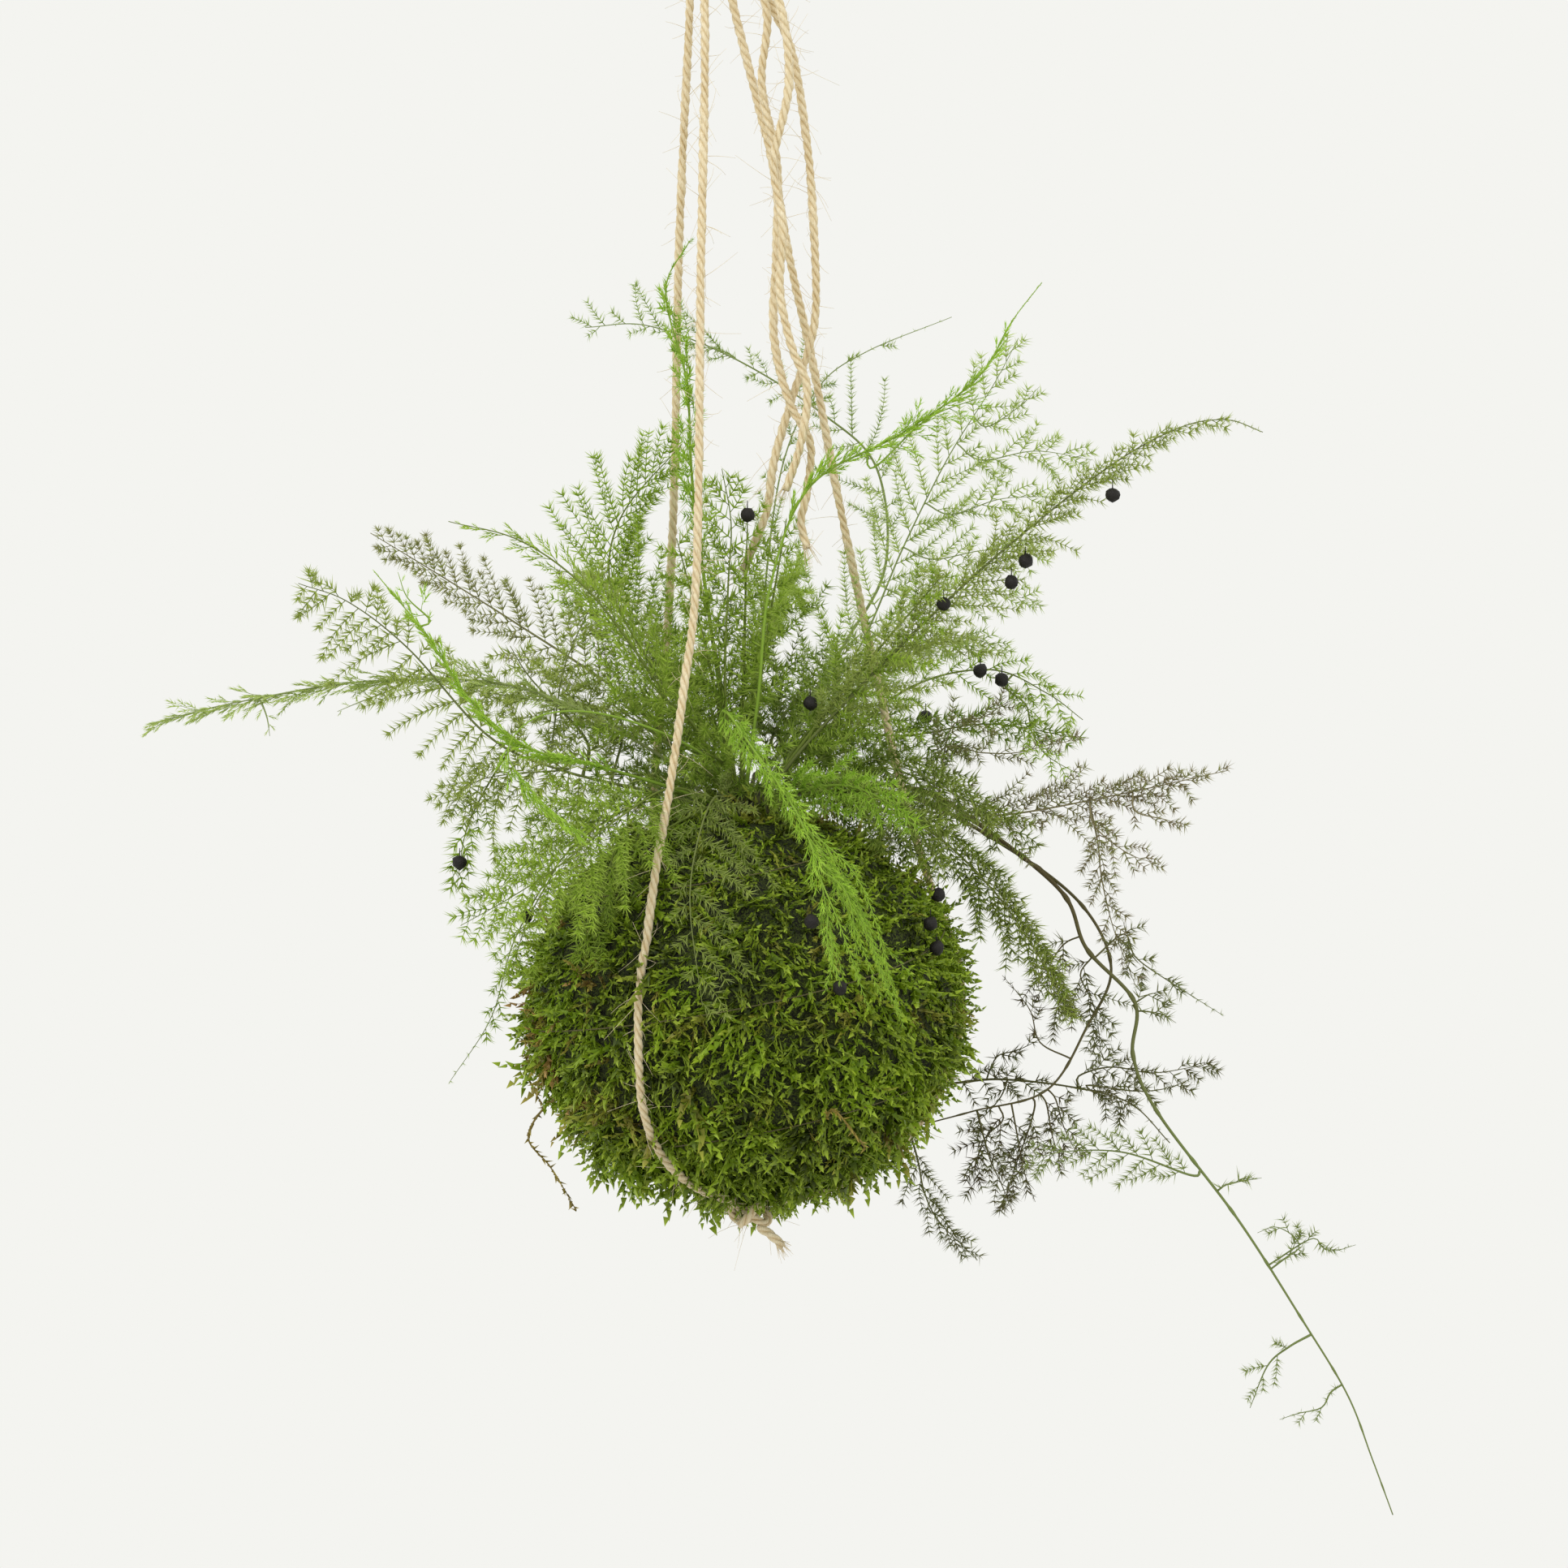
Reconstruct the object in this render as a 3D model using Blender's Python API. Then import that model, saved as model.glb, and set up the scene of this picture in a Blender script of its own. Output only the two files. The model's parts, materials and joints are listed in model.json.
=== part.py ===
# Kokedama: an asparagus fern rooted in a moss-wrapped ball of soil, slung in jute twine.
# Metres, +Z up. The origin is the point inside the twine loop where a hook bears.
# -Y is the front. Every sub-part is one closed solid, and each frond is the plain
# outline of a stem with its plume of fine leaves.
import math

import bmesh
import bpy
import numpy as np
from mathutils import Matrix, Vector

MM = 0.001
GAP = 0.3 * MM  # clearance kept between neighbouring solids

# Moss ball
BALL_CENTRE = Vector((15, 0, -421)) * MM
MOSS_RADII = Vector((72, 72, 64.5)) * MM
MOSS_THICKNESS = 9 * MM
BALL_SEGMENTS = 24  # round the ball, and half as many steps from pole to pole

# Crown, where every stem starts, with fleshy roots below it
CROWN_CENTRE = Vector((14, 0, -363)) * MM
CROWN_RADIUS = 14 * MM
CROWN_DEPTH = 26 * MM  # from the crown's centre to the foot of its taproot
CROWN_SKIRT = math.radians(-29)  # how far below its middle the crown's dome reaches
CROWN_FOOT = (0.45, 0.8)  # shares of the radius and the depth where the taproot starts
ROOT_COUNT = 5
ROOT_RADIUS = 2.6 * MM
ROOT_REACH = 40 * MM
ROOT_DROP = 46 * MM
ROOT_MARKS = ((0.2, 0.22), (0.6, 0.45), (0.9, 0.75), (1, 1))  # shares of the reach and of the drop
SHORT_ROOT = 0.75  # every other root is this much shorter

# Binding thread, wound round the moss from the bottom to the top
THREAD_DIAMETER = 0.6 * MM
THREAD_TURNS = 3
THREAD_POINTS_PER_TURN = 24
THREAD_LOWEST = math.radians(-62)
THREAD_HIGHEST = math.radians(58)

# Jute twine
TWINE_DIAMETER = 3.1 * MM
TWINE_STEP = 3 * TWINE_DIAMETER  # distance between a tube's points
TWINE_CLEARANCE = TWINE_DIAMETER / 2 + THREAD_DIAMETER + 2 * GAP
TOP_KNOT_CENTRE = Vector((0, 0, -30)) * MM
TOP_KNOT_RADIUS = 6 * MM
TOP_KNOT_HEIGHT = 12 * MM
TOP_KNOT_TURNS = 3
KNOT_SPREAD = 3.7 * MM  # radius of the ring of twine ends under the top knot
LOOP_WIDTH = 17 * MM
LOOP_LEG_SPREAD = 2.4 * MM
UNDER_KNOT_RADII = Vector((7.5, 6.5, 4.5)) * MM
UNDER_KNOT_PLACE = (2, -16)  # mm from the ball's axis, to the right and to the back
UNDER_KNOT_SAG = 1.5 * MM  # how far it hangs off the moss
UNDER_TAIL = [(4, -2, -5), (8, -3, -7.5), (11, -4, -10.5)]  # mm from the knot's centre

# Fronds and stems
FROND_SIDES = 6
LEAST_RISE = 0.6  # a stem's least slope where it leaves the crown
FROND_STEP = 14 * MM  # distance between a stem's rings
ROUTE_STEP = 2 * MM  # fine spacing along a route, for measuring
BERRY_RADIUS = 2.6 * MM

# The routes below are in millimetres from the origin for twine, and from the
# centre of the crown for the plant.
TWINE_ROUTES = {
    "twine_front": [
        (2, -9, -89), (1, -22, -185), (0, -38, -279), (-4, -46, -318), (-8, -54, -348),
        (-13, -61, -379), (-16, -64, -406), (-17, -64, -432), (-15, -54, -455), (-9, -43, -470),
        (2, -30, -481), (17, -16, -486),
    ],
    "twine_right": [
        (11, 1, -87), (19, 2, -119), (25, 3, -143), (30, 4, -172), (38, 6, -208), (47, 8, -255),
        (58, 11, -306), (70, 14, -358), (81, 15, -393), (88, 15, -422), (77, 10, -455),
        (57, 0, -475), (36, -8, -483), (17, -16, -486),
    ],
    "twine_back": [
        (-3, 6, -86), (-7, 20, -166), (-9, 35, -247), (-12, 46, -302), (-16, 55, -344),
        (-17, 60, -382), (-18, 60, -405), (-16, 66, -422), (-10, 56, -455), (0, 36, -475),
        (10, 12, -484), (17, -16, -486),
    ],
}
# Turn round the top knot, in degrees, at which each twine leaves it
TWINE_EXITS = {
    "loose_end_long": 0,
    "twine_right": 60,
    "twine_back": 120,
    "twine_front": 180,
    "loose_end_middle": 240,
    "loose_end_short": 300,
}
LOOSE_ROUTES = {
    "loose_end_long": [
        (11, -6, -62), (23, -7, -88), (31, -7, -106), (36, -7, -136), (38, -7, -160), (39, -7, -188),
        (37, -7, -203), (31, -7, -221), (25, -8, -242), (23, -9, -257), (19, -10, -268), (15, -11, -278),
    ],
    "loose_end_middle": [
        (5, -13, -60), (22, -13, -90), (21, -13, -118), (26, -13, -143), (26, -13, -170), (25, -13, -200),
        (30, -13, -222), (37, -14, -236), (36, -15, -252), (34, -16, -262), (36, -17, -271),
    ],
    "loose_end_short": [
        (16, -19, -66), (27, -18, -92), (30, -18, -118), (25, -18, -144), (28, -18, -165), (27, -18, -186),
        (31, -18, -205), (36, -18, -218), (34, -19, -236), (29, -19, -252),
    ],
}

# name: (stem radius, plume half width, share of bare stem, lies flat, kind, route)
FRONDS = {
    "frond_left_long": (0.8, 9, 0.25, True, "fresh", [
        (-30, -14, 26), (-72, -26, 46), (-120, -29, 48), (-164, -32, 41), (-192, -34, 34)]),
    "frond_left_bright": (0.8, 8, 0.35, True, "lime", [
        (-22, -26, 13), (-45, -50, 20), (-67, -68, 26), (-84, -77, 40), (-98, -83, 61), (-114, -88, 81)]),
    "frond_left_hook": (0.8, 7, 0.4, True, "lime", [
        (-12, -32, 24), (-40, -62, 36), (-62, -82, 36), (-72, -90, 24), (-60, -97, 8), (-40, -99, -7)]),
    "frond_left_middle": (0.8, 10, 0.3, False, "fresh", [
        (-30, -8, 12), (-59, -20, 19), (-82, -30, 30), (-107, -42, 58), (-126, -47, 73), (-142, -50, 79)]),
    "frond_left_upper": (0.8, 9, 0.3, False, "dark", [
        (-22, 8, 26), (-42, 15, 46), (-75, 18, 68), (-102, 18, 85), (-125, 18, 99)]),
    "frond_left_feather": (0.8, 12, 0.3, False, "fresh", [
        (-17, -12, 30), (-33, -19, 56), (-51, -25, 79), (-72, -28, 94), (-95, -32, 100)]),
    "frond_left_fan": (0.9, 14, 0.3, False, "fresh", [
        (-17, 2, 36), (-33, 8, 59), (-44, 12, 82), (-40, 15, 105), (-20, 18, 129)]),
    "frond_top_arch": (0.9, 8, 0.35, False, "airy", [
        (16, 20, 31), (35, 32, 62), (49, 36, 89), (46, 35, 122), (28, 32, 140), (-2, 22, 158),
        (-31, 10, 168), (-52, 5, 167)]),
    "frond_top_thin": (0.7, 5, 0.45, False, "airy", [
        (6, 10, 42), (8, 14, 80), (14, 16, 122), (26, 18, 148), (42, 18, 160), (71, 20, 172)]),
    "frond_top_bright": (0.8, 8, 0.4, True, "lime", [
        (6, -16, 44), (10, -20, 80), (23, -24, 112), (53, -30, 129), (77, -36, 146), (88, -39, 164),
        (98, -40, 177)]),
    "frond_right_fan": (0.9, 16, 0.3, False, "airy", [
        (20, 2, 34), (39, -1, 59), (54, -1, 93), (69, -2, 123), (84, -6, 147), (95, -10, 171)]),
    "frond_right_arm": (0.9, 9, 0.3, False, "dark", [
        (24, -14, 30), (55, -26, 62), (84, -34, 89), (118, -42, 116), (141, -46, 129), (157, -46, 132),
        (169, -46, 128)]),
    "frond_right_middle": (0.8, 11, 0.35, False, "fresh", [
        (29, 14, 25), (57, 20, 47), (84, 20, 53), (103, 18, 45), (115, 16, 36)]),
    "frond_right_brown": (0.8, 10, 0.35, True, "brown", [
        (35, 24, 12), (63, 34, 5), (90, 34, 4), (129, 32, 11), (165, 28, 19)]),
    "frond_right_dark": (0.8, 10, 0.3, True, "dark", [
        (25, 24, 30), (57, 40, 31), (85, 46, 35), (116, 48, 30)]),
    "vine_trailing": (1.2, 0, 1, True, "brown", [
        (32, 42, 14), (62, 52, 12), (85, 52, -2), (110, 46, -23), (118, 42, -42), (134, 36, -60),
        (133, 30, -78), (141, 24, -97), (167, 14, -132), (188, 10, -165), (203, 8, -190),
        (211, 6, -211), (218, 6, -230)]),
    "vine_curled": (1.2, 0, 1, True, "brown", [
        (22, 52, 14), (58, 66, 10), (91, 66, -7), (117, 58, -27), (127, 50, -49), (118, 42, -69),
        (104, 36, -90), (79, 34, -97), (57, 36, -103)]),
    "vine_lower": (1.1, 5, 0.6, True, "brown", [
        (8, 56, 18), (30, 83, -14), (46, 88, -60), (56, 84, -82), (67, 74, -90), (89, 62, -88),
        (114, 50, -90), (133, 42, -95), (146, 36, -108)]),
    "frond_right_drooping": (0.8, 9, 0.35, False, "dark", [
        (37, 4, 8), (61, 0, 0), (83, -6, -20), (99, -8, -43), (110, -8, -64)]),
    "frond_front_bright": (0.8, 12, 0.35, False, "fresh", [
        (-6, -24, 26), (-5, -46, 38), (5, -74, 25), (18, -92, 6), (25, -99, -12), (30, -98, -38)]),
    "frond_front_yellow": (0.8, 12, 0.3, False, "lime", [
        (18, -27, 12), (34, -40, 14), (47, -50, 9), (57, -56, 0)]),
    "frond_front_left": (0.7, 10, 0.3, False, "fresh", [
        (-22, -44, 13), (-39, -69, 3), (-56, -82, -11), (-71, -86, -21), (-87, -88, -30)]),
    "frond_front_middle": (0.7, 8, 0.3, False, "fresh", [
        (-8, -48, 10), (-13, -74, -4), (-15, -90, -24), (-11, -96, -55)]),
    "frond_left_low": (0.7, 6, 0.35, False, "brown", [
        (-33, 10, 8), (-58, 18, -8), (-76, 20, -37), (-84, 14, -64), (-98, 10, -86)]),
    "frond_centre": (0.9, 9, 0.3, False, "dark", [
        (-5, -14, 45), (-4, -18, 79), (-3, -19, 100), (-6, -20, 118)]),
    "frond_centre_tall": (0.8, 6, 0.5, True, "lime", [
        (-9, 8, 59), (-16, 4, 113), (-18, -1, 148), (-25, -2, 178), (-17, -3, 195)]),
    "frond_back_left": (0.9, 14, 0.3, True, "dark", [
        (-15, 38, 32), (-30, 75, 61), (-45, 105, 82), (-58, 135, 92)]),
    "frond_back_middle": (0.9, 14, 0.3, True, "fresh", [
        (2, 40, 37), (10, 85, 67), (16, 125, 85), (20, 160, 81)]),
    "frond_back_right": (0.9, 14, 0.3, True, "dark", [
        (16, 40, 40), (41, 84, 51), (65, 112, 64), (89, 135, 62)]),
    "frond_back_low": (0.9, 12, 0.3, True, "fresh", [
        (-8, 46, 14), (-16, 85, 16), (-22, 115, 1), (-27, 130, -26)]),
}
# name: (host stem, share of the way along it, stem radius, plume half width, kind, route)
SPRAYS = {
    "spray_trailing_upper": ("vine_trailing", 0.60, 0.6, 7, "brown", [
        (151, 13, -117), (128, 9, -109), (106, 8, -109), (99, 7, -113)]),
    "spray_trailing_lower": ("vine_trailing", 0.80, 0.6, 6, "brown", [
        (183, 6, -174), (176, 5, -180), (170, 4, -194)]),
    "spray_curled_middle": ("vine_curled", 0.86, 0.6, 6, "brown", [
        (84, 26, -112), (88, 24, -121), (92, 23, -131)]),
    "spray_curled_end": ("vine_curled", 0.97, 0.6, 6, "brown", [
        (60, 31, -114), (62, 29, -124), (67, 28, -134), (80, 26, -147)]),
    "spray_left_hanging": ("frond_left_middle", 0.42, 0.5, 4, "fresh", [
        (-82, -26, 15), (-87, -30, 5), (-90, -32, -4), (-92, -34, -19)]),
}
# name: (host, share of the way along it, direction from the host as (right, back, up))
BERRIES = {
    "berry_arm_1": ("frond_right_arm", 0.73, (1, -0.2, -0.5)),
    "berry_arm_2": ("frond_right_arm", 0.56, (0, -0.2, -1)),
    "berry_arm_3": ("frond_right_arm", 0.52, (0.7, -0.2, -0.7)),
    "berry_arm_4": ("frond_right_arm", 0.42, (0, -1, 0)),
    "berry_middle_1": ("frond_right_middle", 0.75, (-1, -0.2, 0)),
    "berry_middle_2": ("frond_right_middle", 0.69, (0, -1, 0)),
    "berry_dark": ("frond_right_dark", 0.58, (-1, -0.2, 0)),
    "berry_centre": ("frond_centre", 0.86, (1, -0.3, 0)),
    "berry_front": ("frond_front_bright", 0.93, (-1, -0.3, 0)),
    "berry_left": ("spray_left_hanging", 0.82, (0, -1, 0)),
    "berry_low": ("frond_left_low", 0.56, (0, -1, 0)),
}

# kind: (colour, roughness)
FINISHES = {
    "moss": ("4A6A1B", 0.9),
    "soil": ("3A2A1C", 0.95),
    "root": ("B9A67C", 0.8),
    "thread": ("B9B79A", 0.6),
    "jute": ("C39B66", 0.85),
    "fresh": ("5FA02F", 0.6),
    "lime": ("86B82C", 0.6),
    "airy": ("8DB36B", 0.6),
    "dark": ("3F6B2A", 0.6),
    "brown": ("5D5F3F", 0.7),
    "berry": ("1A1714", 0.4),
}


def clear_scene():
    for old in list(bpy.data.objects):
        bpy.data.objects.remove(old, do_unlink=True)


def make_material(kind):
    colour, roughness = FINISHES[kind]
    material = bpy.data.materials.new(kind)
    material.use_nodes = True
    shader = material.node_tree.nodes["Principled BSDF"]
    linear = [(int(colour[i:i + 2], 16) / 255) ** 2.2 for i in (0, 2, 4)]
    shader.inputs["Base Color"].default_value = (*linear, 1)
    shader.inputs["Roughness"].default_value = roughness
    shader.inputs["Metallic"].default_value = 0
    return material


def place(name, data, kind):
    if kind not in bpy.data.materials:
        make_material(kind)
    if not data.materials:
        data.materials.append(bpy.data.materials[kind])
    part = bpy.data.objects.new(name, data)
    bpy.context.collection.objects.link(part)
    return part


def close_mesh(name, bm, kind):
    """Turns a finished bmesh into an object, with its faces pointing out."""
    bmesh.ops.remove_doubles(bm, verts=bm.verts, dist=0.001 * MM)
    bmesh.ops.recalc_face_normals(bm, faces=bm.faces)
    mesh = bpy.data.meshes.new(name)
    bm.to_mesh(mesh)
    bm.free()
    mesh.shade_smooth()
    mesh.set_sharp_from_angle(angle=math.radians(50))
    return place(name, mesh, kind)


def smooth_route(points, step):
    """A Catmull-Rom curve through the points, read at even steps."""
    knots = np.array([tuple(point) for point in points], dtype=float)
    ends = (2 * knots[0] - knots[1], 2 * knots[-1] - knots[-2])
    chain = np.vstack([ends[0], knots, ends[1]])
    t = np.linspace(0, 1, 24, endpoint=False)[:, None]
    fine = []
    for a, b, c, d in zip(chain, chain[1:], chain[2:], chain[3:]):
        fine.append(0.5 * (2 * b + (c - a) * t + (2 * a - 5 * b + 4 * c - d) * t ** 2
                           + (3 * b - a - 3 * c + d) * t ** 3))
    fine = np.vstack([*fine, knots[-1:]])
    along = np.concatenate([[0], np.cumsum(np.linalg.norm(np.diff(fine, axis=0), axis=1))])
    marks = np.linspace(0, along[-1], max(3, round(along[-1] / step) + 1))
    return np.column_stack([np.interp(marks, along, fine[:, axis]) for axis in range(3)])


def keep_off_ball(route, clearance):
    """Moves points that lie inside the moss, or too near it, out to the clearance."""
    centre = np.array(BALL_CENTRE)
    radii = np.array(MOSS_RADII) + clearance
    offset = route - centre
    depth = np.linalg.norm(offset / radii, axis=1, keepdims=True)
    return centre + offset / np.minimum(depth, 1)


def stop_at(route, centre, radius):
    """Cuts a route off where it first comes within the radius of a centre."""
    away = np.linalg.norm(route - np.array(centre), axis=1)
    inside = np.nonzero(away < radius)[0]
    if not len(inside):
        return route
    last = inside[0] - 1
    share = (away[last] - radius) / (away[last] - away[last + 1])
    crossing = route[last] + share * (route[last + 1] - route[last])
    return np.vstack([route[:last], crossing])


def add_tube(name, route, diameter, kind, resolution=2):
    curve = bpy.data.curves.new(name, "CURVE")
    curve.dimensions = "3D"
    curve.bevel_depth = diameter / 2
    curve.bevel_resolution = resolution
    curve.use_fill_caps = True
    spline = curve.splines.new("POLY")
    spline.points.add(len(route) - 1)
    for point, where in zip(spline.points, route):
        point.co = (*where, 1)
    spline.use_smooth = True
    return place(name, curve, kind)


def turn_about(bm, centre, segments):
    """Spins the profile in a bmesh about the upright axis, then moves it to its centre."""
    bmesh.ops.spin(bm, geom=bm.verts[:] + bm.edges[:], cent=(0, 0, 0), axis=(0, 0, 1),
                   angle=math.tau, steps=segments, use_merge=True)
    bmesh.ops.translate(bm, verts=bm.verts, vec=centre)


def add_turned(name, profile, centre, kind, segments=BALL_SEGMENTS):
    """Turns (radius, height) points about an upright axis through the centre."""
    bm = bmesh.new()
    verts = [bm.verts.new((radius, 0, height)) for radius, height in profile]
    for a, b in zip(verts, verts[1:]):
        bm.edges.new((a, b))
    turn_about(bm, centre, segments)
    return close_mesh(name, bm, kind)


def add_sweep(name, route, widths, depths, sideways, kind, sides=FROND_SIDES):
    """Draws a flattened ring along a route, and closes both ends."""
    tangents = np.gradient(route, axis=0)
    rings = []
    for point, tangent, side, width, depth in zip(route, tangents, sideways, widths, depths):
        forward = Vector(tangent).normalized()
        across = (Vector(side) - forward * forward.dot(Vector(side))).normalized()
        over = forward.cross(across)
        rings.append(Matrix((
            (across.x * width, over.x * depth, forward.x, point[0]),
            (across.y * width, over.y * depth, forward.y, point[1]),
            (across.z * width, over.z * depth, forward.z, point[2]),
            (0, 0, 0, 1))))
    bm = bmesh.new()
    start = bmesh.ops.create_circle(bm, segments=sides, radius=1, cap_ends=False)["verts"]
    corner_sideways = Matrix.Rotation(math.pi / 2, 4, "Z")
    bmesh.ops.transform(bm, matrix=rings[0] @ corner_sideways, verts=start)
    edges = bm.edges[:]
    bmesh.ops.contextual_create(bm, geom=edges)
    for before, after in zip(rings, rings[1:]):
        grown = bmesh.ops.extrude_edge_only(bm, edges=edges)["geom"]
        edges = [item for item in grown if isinstance(item, bmesh.types.BMEdge)
                 and all(len(vert.link_edges) == 3 for vert in item.verts)]
        verts = list({vert for edge in edges for vert in edge.verts})
        bmesh.ops.transform(bm, matrix=after @ before.inverted(), verts=verts)
    bmesh.ops.contextual_create(bm, geom=edges)
    return close_mesh(name, bm, kind)


def unite(name, parts, kind, operation="UNION"):
    """Applies a Boolean of the first part with each of the others, which are then removed."""
    body, tools = parts[0], parts[1:]
    for tool in tools:
        modifier = body.modifiers.new(tool.name, "BOOLEAN")
        modifier.operation = operation
        modifier.solver = "EXACT"
        modifier.object = tool
    bpy.context.view_layer.update()
    shaped = body.evaluated_get(bpy.context.evaluated_depsgraph_get())
    mesh = bpy.data.meshes.new_from_object(shaped)
    mesh.name = name
    for part in parts:
        bpy.data.objects.remove(part, do_unlink=True)
    return place(name, mesh, kind)


def ball_profile(inset, first_step):
    """Upper edge to lower pole of the ball, drawn inset from the moss; step 0 is the top."""
    steps = BALL_SEGMENTS // 2
    angles = [math.pi / 2 - math.pi * step / steps for step in range(first_step, steps)]
    wide, high = MOSS_RADII.x - inset, MOSS_RADII.z - inset
    profile = [(wide * math.cos(angle), high * math.sin(angle)) for angle in angles]
    return profile + [(0, -high)]


def make_crown(name, grow):
    """The crown and its roots, larger all round by grow."""
    radius = CROWN_RADIUS + grow
    dome = [(radius * math.cos(a), radius * math.sin(a)) for a in np.linspace(math.pi / 2, CROWN_SKIRT, 7)]
    dome[0] = (0, radius)
    foot = [(CROWN_FOOT[0] * CROWN_RADIUS + grow, -CROWN_FOOT[1] * CROWN_DEPTH), (0, -CROWN_DEPTH - grow)]
    pieces = [add_turned(name + "_body", dome + foot, CROWN_CENTRE, "root", segments=12)]
    for index in range(ROOT_COUNT):
        turn = math.tau * (index + 0.5) / ROOT_COUNT
        out = Vector((math.cos(turn), math.sin(turn), 0))
        reach = ROOT_REACH * (1 if index % 2 else SHORT_ROOT)
        marks = [CROWN_CENTRE + out * far * reach - Vector((0, 0, down * ROOT_DROP)) for far, down in ROOT_MARKS]
        marks[-1].z -= grow
        route = smooth_route(marks, 12 * MM)
        radii = ROOT_RADIUS * np.interp(np.linspace(0, 1, len(route)), [0, 0.6, 1], [0.8, 1, 0.3]) + grow
        side = [out.cross(Vector((0, 0, 1)))] * len(route)
        pieces.append(add_sweep(f"{name}_root_{index}", route, radii, radii, side, "root"))
    return unite(name, pieces, "root")


def make_soil_ball():
    inset = MOSS_THICKNESS + GAP
    profile = [(0, MOSS_RADII.z - inset)] + ball_profile(inset, 1)
    ball = add_turned("soil_body", profile, BALL_CENTRE, "soil")
    socket = make_crown("crown_socket", GAP)
    unite("soil_ball", [ball, socket], "soil", operation="DIFFERENCE")


def make_moss_cover():
    """A shell that is open at the top, where the crown comes through."""
    outside = ball_profile(0, 1)
    inside = ball_profile(MOSS_THICKNESS, 1)
    bm = bmesh.new()
    rim = []
    for profile in (outside, inside):
        verts = [bm.verts.new((radius, 0, height)) for radius, height in profile]
        for a, b in zip(verts, verts[1:]):
            bm.edges.new((a, b))
        rim.append(verts[0])
    bm.edges.new(rim)
    turn_about(bm, BALL_CENTRE, BALL_SEGMENTS)
    close_mesh("moss_cover", bm, "moss")


def make_binding_thread():
    radii = MOSS_RADII + Vector((1, 1, 1)) * (THREAD_DIAMETER / 2 + GAP)
    count = THREAD_TURNS * THREAD_POINTS_PER_TURN
    route = []
    for index in range(count + 1):
        turn = math.tau * index / THREAD_POINTS_PER_TURN
        rise = THREAD_LOWEST + (THREAD_HIGHEST - THREAD_LOWEST) * index / count
        rise += math.radians(9) * math.sin(turn + 0.7)
        route.append(BALL_CENTRE + Vector((
            radii.x * math.cos(rise) * math.cos(turn),
            radii.y * math.cos(rise) * math.sin(turn),
            radii.z * math.sin(rise))))
    add_tube("binding_thread", np.array(route), THREAD_DIAMETER, "thread", resolution=0)


def under_knot_centre():
    right, back = UNDER_KNOT_PLACE
    x, y = right * MM, back * MM
    below = MOSS_RADII.z * math.sqrt(1 - (x / MOSS_RADII.x) ** 2 - (y / MOSS_RADII.y) ** 2)
    lowered = below + UNDER_KNOT_RADII.z + GAP + UNDER_KNOT_SAG
    return BALL_CENTRE + Vector((x, y, -lowered))


def make_knots():
    """The knot that gathers the twine above, its loop, and the knot under the ball."""
    bulge = TOP_KNOT_HEIGHT / TOP_KNOT_TURNS
    profile = [(0, TOP_KNOT_HEIGHT / 2)]
    for turn in range(TOP_KNOT_TURNS):
        top = TOP_KNOT_HEIGHT / 2 - turn * bulge
        for angle in np.linspace(72, -72, 3):
            rise = bulge / 2 * math.sin(math.radians(angle))
            out = TOP_KNOT_RADIUS - 1.2 * MM + 1.2 * MM * math.cos(math.radians(angle))
            profile.append((out, top - bulge / 2 + rise))
    profile.append((0, -TOP_KNOT_HEIGHT / 2))
    add_turned("top_knot", profile, TOP_KNOT_CENTRE, "jute", segments=14)

    foot = TOP_KNOT_CENTRE.z + TOP_KNOT_HEIGHT / 2 + 1.5 * GAP
    crest = TWINE_DIAMETER / 2
    half = LOOP_WIDTH / 2
    side = [(LOOP_LEG_SPREAD, foot), (LOOP_LEG_SPREAD, foot + 2 * MM), (0.75 * half, foot + 8 * MM),
            (half, foot + 15 * MM), (0.6 * half, crest - 1.6 * MM)]
    marks = [(-x, 0, z) for x, z in side] + [(0, 0, crest)] + [(x, 0, z) for x, z in side[::-1]]
    add_tube("hang_loop", smooth_route(marks, 3.5 * MM), TWINE_DIAMETER, "jute")

    bm = bmesh.new()
    bmesh.ops.create_uvsphere(bm, u_segments=14, v_segments=8, radius=1)
    bmesh.ops.scale(bm, vec=UNDER_KNOT_RADII, verts=bm.verts)
    bmesh.ops.translate(bm, vec=under_knot_centre(), verts=bm.verts)
    close_mesh("under_knot", bm, "jute")
    knot = under_knot_centre()
    first = Vector(UNDER_TAIL[0]) * MM
    unit = Vector((first.x / UNDER_KNOT_RADII.x, first.y / UNDER_KNOT_RADII.y, first.z / UNDER_KNOT_RADII.z))
    points = [knot + first / unit.length + first.normalized() * 2.5 * GAP]
    points += [knot + Vector(mark) * MM for mark in UNDER_TAIL[1:]]
    add_tube("under_tail", smooth_route(points, 3 * MM), TWINE_DIAMETER, "jute")


def twine_start(name):
    turn = math.radians(TWINE_EXITS[name])
    drop = TOP_KNOT_HEIGHT / 2 + 1.5 * GAP
    around = Vector((math.cos(turn), math.sin(turn), 0)) * KNOT_SPREAD
    return TOP_KNOT_CENTRE + around - Vector((0, 0, drop))


def twine_route(name, marks):
    start = twine_start(name)
    points = [start, start - Vector((0, 0, TWINE_STEP))] + [Vector(mark) * MM for mark in marks]
    return smooth_route(points, TWINE_STEP)


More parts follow.
